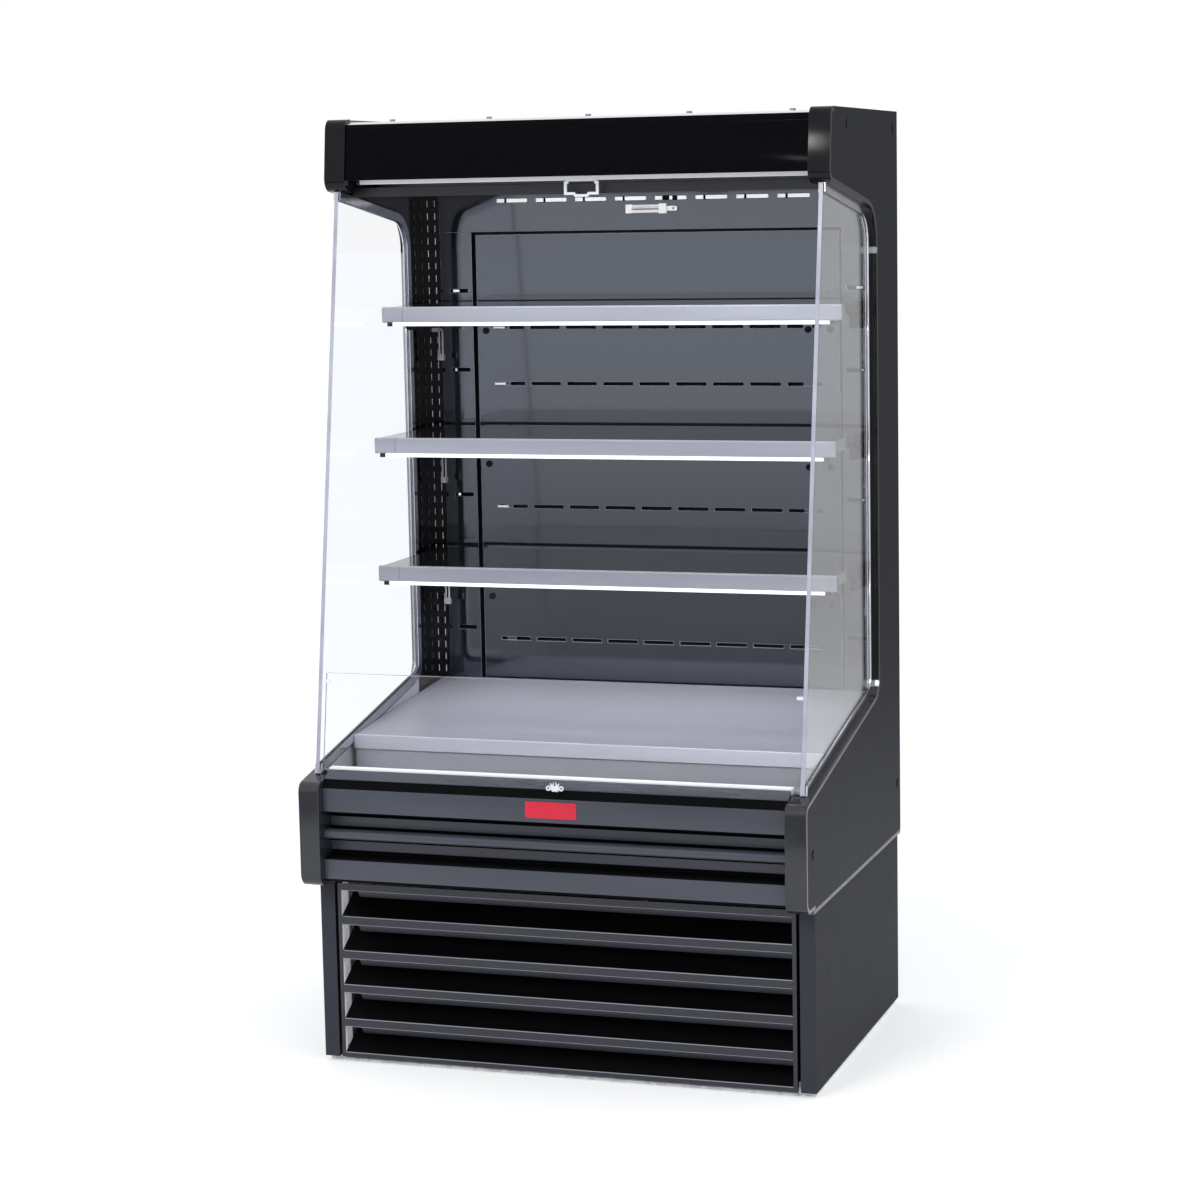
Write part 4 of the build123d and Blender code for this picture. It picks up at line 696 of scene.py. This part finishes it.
def panel_finish(place, facing):
    """Satin outside, mirror black inside, and a lighter grey on the arm beside the deck, as painted
    light.
    """
    if abs(place.x) > panel_inner + slack:
        return 0
    return 2 if place.y < window_edge + slack and place.z < arm_top else 1


def is_on_top(place, facing):
    """One for faces that look up."""
    return 1 if facing.z > mostly else 0


rib_slope = 0.45
groove_floor = -0.324
# Between these two heights a thin line under the bumper's lip gets painted shade.
shade_line_low = 0.5600
shade_line_high = 0.5665
bumper_cuts = [((0, 0, shade_line_low), (0, 0, 1)), ((0, 0, shade_line_high), (0, 0, 1))]


def bumper_finish(place, facing):
    """Satin on the bands, the ribs and the lip, and painted shade in the grooves, on faces that look
    up or down, and on a thin line under the lip.
    """
    if place.z > shade_line_high:
        return 0
    if place.z > shade_line_low or abs(facing.z) > rib_slope:
        return 1
    return 1 if place.y > groove_floor else 0


def strip_finish(place, facing):
    """The left strip is dark chrome, a painted reflection that makes its inner side bright, and the
    right one shows its black back.
    """
    return 1 if place.x < 0 else 0


def lit_front_finish(place, facing):
    """One for the front faces of the base, which get a lighter copy of its paint as painted light."""
    return 1 if facing.y < -mostly else 0


panel_cuts = [((0, window_edge + slack, 0), (0, 1, 0)), ((0, 0, arm_top), (0, 0, 1))]
# The bevels along the edges of the panels, the caps and the base get the outer-fold paint, a painted
# sheen.
for side in ("left", "right"):
    rounded("end_panel_" + side, [outer_paint, liner_paint, lit_arm_paint, outer_edge_sheen],
            panel_finish, cuts=panel_cuts, edge_finish=3)
rounded("rear_wall", [outer_paint], radius=0.0008)
rounded("upper_end_caps", [cap_plastic, outer_edge_sheen], segments=3, edge_finish=1, radius=0.0014)
rounded("lower_end_caps", [low_cap_plastic, outer_edge_sheen], segments=3, edge_finish=1, radius=0.0014)
# The left edge strip is dark chrome, which paints a bright reflection on it; the right one stays
# black.
rounded("edge_strips", [cap_plastic, dark_chrome], strip_finish, radius=0.0012)
rounded("canopy_front", [canopy_paint, aluminium], is_on_top)
rounded("canopy_top", [outer_paint], radius=0.0008)
rounded("bumper_moulding", [bumper_plastic, groove_shade_paint], bumper_finish, radius=0.0009,
        cuts=bumper_cuts)
rounded("bumper_bar", [bumper_plastic], radius=0.0009)
rounded("badge_plate", [red_plastic])
rounded("base_joint_trim", [joint_plastic], radius=0.0012)
rounded("base_panels", [base_paint, lit_front_paint, outer_edge_sheen], lit_front_finish, edge_finish=2, radius=0.0005)
print("shell dressed")

# %% [markdown]
# The louvre's slats fall away from the viewer, so their slopes get a near-black copy of the paint,
# which is painted shade. Their folded front lips catch the light, with painted highlight lines along
# their edges. The stiles at the ends are bare steel inside, with a painted glow. The lips and the
# stiles share one flat front, so planes cut the copy along every border where the finish changes.

# %% Louvre
louvre_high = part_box("louvre_grille")[1]
stile_wide = 0.010
slat_short = 0.008
lip_over = 0.003
stile_inner = louvre_high.x - stile_wide
slat_end = louvre_high.x - slat_short
first_lip_top = louvre_high.z + lip_over
lips = 6
lip_pitch = 0.0673
lip_tall = 0.017
# A thin band at the top and at the foot of each lip gets a painted highlight.
lip_highlight_tall = 0.0018
straight = 0.9
lip_tops = [first_lip_top - index * lip_pitch for index in range(lips)]
lip_drops = (0, lip_highlight_tall, lip_tall - lip_highlight_tall / 2, lip_tall)
louvre_cuts = [((0, 0, top - drop), (0, 0, 1)) for top in lip_tops for drop in lip_drops]
louvre_cuts += [((side * slat_end, 0, 0), (1, 0, 0)) for side in (-1, 1)]


def louvre_finish(place, facing):
    """Lips with a painted highlight line along both edges, slopes in painted shade, and the bare
    insides of the stiles with their painted glow.
    """
    if abs(facing.x) > straight and abs(place.x) > stile_inner and place.x * facing.x < 0:
        return 2
    if facing.y > -mostly:
        return 1
    drop = (first_lip_top - place.z) % lip_pitch
    on_highlight_line = drop < lip_highlight_tall or lip_tall - lip_highlight_tall / 2 < drop < lip_tall
    return 3 if on_highlight_line and abs(place.x) < stile_inner else 0


rounded("louvre_grille", [lip_paint, shaded_slope_paint, glowing_stile_steel, inner_edge_highlight], louvre_finish,
        radius=0.0003, segments=1, cuts=louvre_cuts)
print("louvre dressed")

# %% [markdown]
# Sheets of clear acrylic look clear through their faces and pale at their polished edges, so the two
# get separate finishes; the edges' opaque pale finish is painted light. The left pane stands against
# the light and hardly mirrors.

# %% Clear panes and their trim
broad_face = 0.7


def pane_finish(place, facing):
    """Right face, left face or polished edge of an end pane."""
    if abs(facing.x) < broad_face:
        return 2
    return 0 if place.x > 0 else 1


def riser_finish(place, facing):
    """Face or polished edge of the riser."""
    return 0 if abs(facing.y) > broad_face else 1


panes = rounded("side_glass", [acrylic, left_acrylic, edge_glow_plastic], pane_finish)
riser = rounded("riser_glass", [riser_acrylic, edge_glow_plastic], riser_finish)
for sheet in (panes, riser):
    sheet.visible_shadow = False
rounded("glass_channels", [bright_trim], radius=0.0010)
rounded("riser_holder", [glowing_bar_white])
print("panes dressed")

# %% [markdown]
# The deck, the curtain's bar and the small things in front of the shelves follow.

# %% Deck and front fittings
bar_end = 0.4425


def bar_finish(place, facing):
    """The pull bar is white with a black end at each side."""
    return 1 if abs(place.x) > bar_end else 0


rounded("deck_pan", [deck_paint])
rounded("deck_price_rail", [deck_rail_plastic], radius=0.0005)
rounded("curtain_pull_bar", [glowing_bar_white, black_plastic], bar_finish)
rounded("pull_handle", [glowing_bar_white])
# The hook gets the same pale steel, partly a painted highlight.
rounded("curtain_hook", [bare_steel_and_glint], radius=0.0004)
rounded("thermometer", [glowing_bar_white], radius=0.0007)
rounded("electrical_box", [base_paint])
rounded("light_switch", [black_plastic])
rounded("compressor", [black_plastic], radius=0.0010)

# %% [markdown]
# The uprights are rolled channels with two columns of slots. Each slot's cut sides are bare steel, and
# a pale finish paints their glint beside the black paint.

# %% Uprights
upright_reach = (0.449, 0.474)


def upright_finish(place, facing):
    """Black paint, and bare steel with a painted glint on the sides of the slots."""
    low, high = upright_reach
    return 1 if abs(facing.x) > straight and low < abs(place.x) < high else 0


# The bevels of the uprights and of the duct panels get the pale inner-fold paint, a painted highlight.
rounded("shelf_uprights", [liner_paint, bare_steel_and_glint, inner_edge_highlight], upright_finish,
        segments=1, edge_finish=2)
rounded("duct_surround", [inner_paint, inner_edge_highlight], segments=1, edge_finish=1, radius=0.0004)
rounded("duct_centre_panel", [inner_paint, inner_edge_highlight], segments=1, edge_finish=1, radius=0.0009)
print("uprights and duct dressed")

# %% [markdown]
# The shelves repeat three times, so a loop dresses them. A light strip and its two black end caps
# come as one part, and the place of each face decides which finish it gets.

# %% Shelves
strip_half = 0.4402
strip_back = 0.1
plug_front = 0.2


def light_finish(place, facing):
    """A glowing cover between black caps, with a white plug well behind."""
    if abs(place.x) < strip_half and place.y < strip_back:
        return 0
    return 2 if place.y > plug_front else 1


for number in (1, 2, 3):
    name = f"shelf_{number}_"
    rounded(name + "pan", [liner_paint])
    rounded(name + "brackets", [base_paint], radius=0.0003)
    rounded(name + "price_rail", [rail_plastic])
    rounded(name + "light", [glow, black_plastic, lead_plastic], light_finish)
print("shelves dressed")

# %% [markdown]
# Parts with many small holes, and parts that hide inside, keep their own mesh. They only get a
# finish.

# %% Plain finishes
def dressed(node, material):
    """Give a part its finish and leave its shape alone."""
    part = frame["nodes"][node]
    part.data.materials.clear()
    part.data.materials.append(material)
    return part


for node, material in {
    "base_frame": zinc,
    "condensate_pan": zinc,
    "condenser_coil": aluminium,
    "condenser_fan_mount": zinc,
    "condenser_fan": black_plastic,
    "refrigerant_lines": copper,
    "power_gland": black_plastic,
    "insulated_tub": liner_paint,
    "panel_plugs": outer_paint,
    "screws_and_clips": dark_chrome,
    "discharge_grille": black_plastic,
    "curtain_roller": cloth,
    "return_air_grille": liner_paint,
    "evaporator_coil": aluminium,
    "evaporator_fan_plate": plate_paint,
    "evaporator_fan_left": black_plastic,
    "evaporator_fan_right": black_plastic,
    "shelf_light_leads": lead_plastic,
}.items():
    dressed(node, material)
print("plain finishes given")

# %% [markdown]
# A strip of pale foam lies behind the slots at the top of the duct, with gaps between its pads. It is
# why those slots look white with dark breaks, and it glows a little, which is painted light. A few
# more pads lie at the ends of the lower rows. The pads are small boxes, each with its edges bevelled,
# in one mesh.

# %% Foam behind the slots
def add_pad(shape, low, high, edge):
    """A box with bevelled edges, from its low corner to its high corner."""
    middle = (Vector(low) + Vector(high)) / 2
    size = Vector(high) - Vector(low)
    grow = Matrix.Diagonal((*size, 1))
    corners = bmesh.ops.create_cube(shape, size=1, matrix=Matrix.Translation(middle) @ grow)["verts"]
    edges = list(dict.fromkeys(line for corner in corners for line in corner.link_edges))
    bmesh.ops.bevel(
        shape, geom=edges, offset=edge, affect="EDGES", segments=1, profile=0.5, material=-1,
    )


sheet_back = 0.33005
pad_back = 0.33165
pad_edge = 0.0003
top_slots = 8
top_slot_pitch = 0.085
top_slot_height = 1.646
top_pad_half = 0.0038
strip_pad_half = 0.0024
air_pad_half = 0.0020
whole_slot = [(-0.033, -0.017), (-0.012, 0.033)]
broken_slot = [(-0.033, -0.018), (-0.003, 0.003), (0.014, 0.033)]
broken_index = 4
strip_pads = (
    (0.418, 0.431, 1.463), (0.391, 0.398, 1.463), (0.427, 0.431, 1.300), (0.391, 0.395, 1.300),
    (0.426, 0.431, 1.040),
)
air_pad_heights = (1.387, 1.271, 1.016)
air_pad = (-0.344, -0.320)

pads = []
for index in range(top_slots):
    middle = (index - (top_slots - 1) / 2) * top_slot_pitch
    spans = broken_slot if index == broken_index else whole_slot
    pads += [(middle + start, middle + end, top_slot_height, top_pad_half) for start, end in spans]
for side in (-1, 1):
    for start, end, height in strip_pads:
        low, high = sorted((side * start, side * end))
        pads.append((low, high, height, strip_pad_half))
pads += [(*air_pad, height, air_pad_half) for height in air_pad_heights]

foam_shape = bmesh.new()
for start, end, height, half in pads:
    add_pad(foam_shape, (start, sheet_back, height - half), (end, pad_back, height + half), pad_edge)
foam = finish_piece("slot_foam", foam_shape, "cabinet", [glowing_foam])
print("foam pads:", len(pads))

# %% [markdown]
# The uprights' slots are punched after painting, so their sides are bare steel and draw two columns of
# bright dashes. A thin bright pad on the lit side of every slot stands for the cut edge and its
# painted glint.

# %% Bare edges of the upright slots
slots_high = 39
slot_low = 0.670
slot_step = 0.0254
slot_tall = 0.014
slot_columns = (0.4535, 0.4695)
slot_half = 0.0020
slot_margin = 0.001
edge_wide = 0.0010
edge_bevel = 0.0002
upright_front = 0.2966
upright_back = 0.2974
glint_shape = bmesh.new()
slots = 0
for column in [side * x for side in (-1, 1) for x in slot_columns]:
    start = column - slot_half
    for index in range(slots_high):
        low = slot_low + index * slot_step
        slots += 1
        add_pad(glint_shape, (start, upright_front, low + slot_margin),
                (start + edge_wide, upright_back, low + slot_tall - slot_margin), edge_bevel)
glints = finish_piece("slot_edges", glint_shape, "cabinet", [bare_steel_and_glint])
print("slots with bare edges:", slots)

# %% [markdown]
# The thermometer is a white plastic holder with a glass tube on its face. The scale is a thin
# plate whose ticks are drawn by its material, and the tube's red thread is a second, thinner tube.

# %% Thermometer face
holder_low, holder_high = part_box("thermometer")
holder_rim = 0.001
tube_drop = 0.001
holder_front = holder_low.y + holder_rim
tube_height = (holder_low.z + holder_high.z) / 2 - tube_drop
scale_reach = (-0.036, 0.019)
scale_below = 0.0058
scale_above = 0.0072
scale_sink = 0.0005
scale_front = 0.0002
scale_bevel = 0.0002
tube_reach = (-0.037, 0.0195)
tube_radius = 0.0016
tube_out = 0.0010
thread_reach = (-0.033, -0.004)
thread_radius = 0.0006
thread_out = 0.0024
tube_sides = 16


def add_tube(shape, reach, radius, middle_y, height):
    """A round rod along X with its ends closed."""
    start, end = reach
    turn = Matrix.Rotation(math.radians(90), 4, "Y")
    place = Matrix.Translation(((start + end) / 2, middle_y, height))
    bmesh.ops.create_cone(
        shape, cap_ends=True, segments=tube_sides, radius1=radius, radius2=radius,
        depth=end - start, matrix=place @ turn,
    )


scale_shape = bmesh.new()
add_pad(scale_shape, (scale_reach[0], holder_front - scale_sink, tube_height - scale_below),
        (scale_reach[1], holder_front + scale_front, tube_height + scale_above), scale_bevel)
scale = finish_piece("thermometer_scale", scale_shape, "cabinet", [scale_paint])
tube_shape = bmesh.new()
add_tube(tube_shape, tube_reach, tube_radius, holder_front - tube_out, tube_height)
tube = finish_piece("thermometer_tube", tube_shape, "cabinet", [lead_plastic])
thread_shape = bmesh.new()
add_tube(thread_shape, thread_reach, thread_radius, holder_front - thread_out, tube_height)
thread = finish_piece("thermometer_thread", thread_shape, "cabinet", [red_plastic])
print("thermometer height:", round(tube_height, 4))

# %% [markdown]
# The night curtain is one sheet, wound on its roller behind the canopy. Only the short stretch between
# the roll and the pull bar hangs free at rest, and that stretch is the sheet made here.

# %% Curtain sheet
curtain_half = 0.43
curtain_y = -0.1159
curtain_top = 1.727
curtain_foot = 1.700
strips_across = 40
strips_down = 28
curtain_shape = bmesh.new()
lie = Matrix.Translation((0, curtain_y, (curtain_top + curtain_foot) / 2))
stand = Matrix.Rotation(math.radians(90), 4, "X")
spread = Matrix.Diagonal((2 * curtain_half, curtain_top - curtain_foot, 1, 1))
bmesh.ops.create_grid(curtain_shape, x_segments=strips_across, y_segments=strips_down,
                      size=half_unit, matrix=lie @ stand @ spread)
curtain = finish_piece("curtain_sheet", curtain_shape, None, [cloth])
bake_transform(curtain)
print("curtain strip:", round(curtain_top - curtain_foot, 3), "m long at rest")
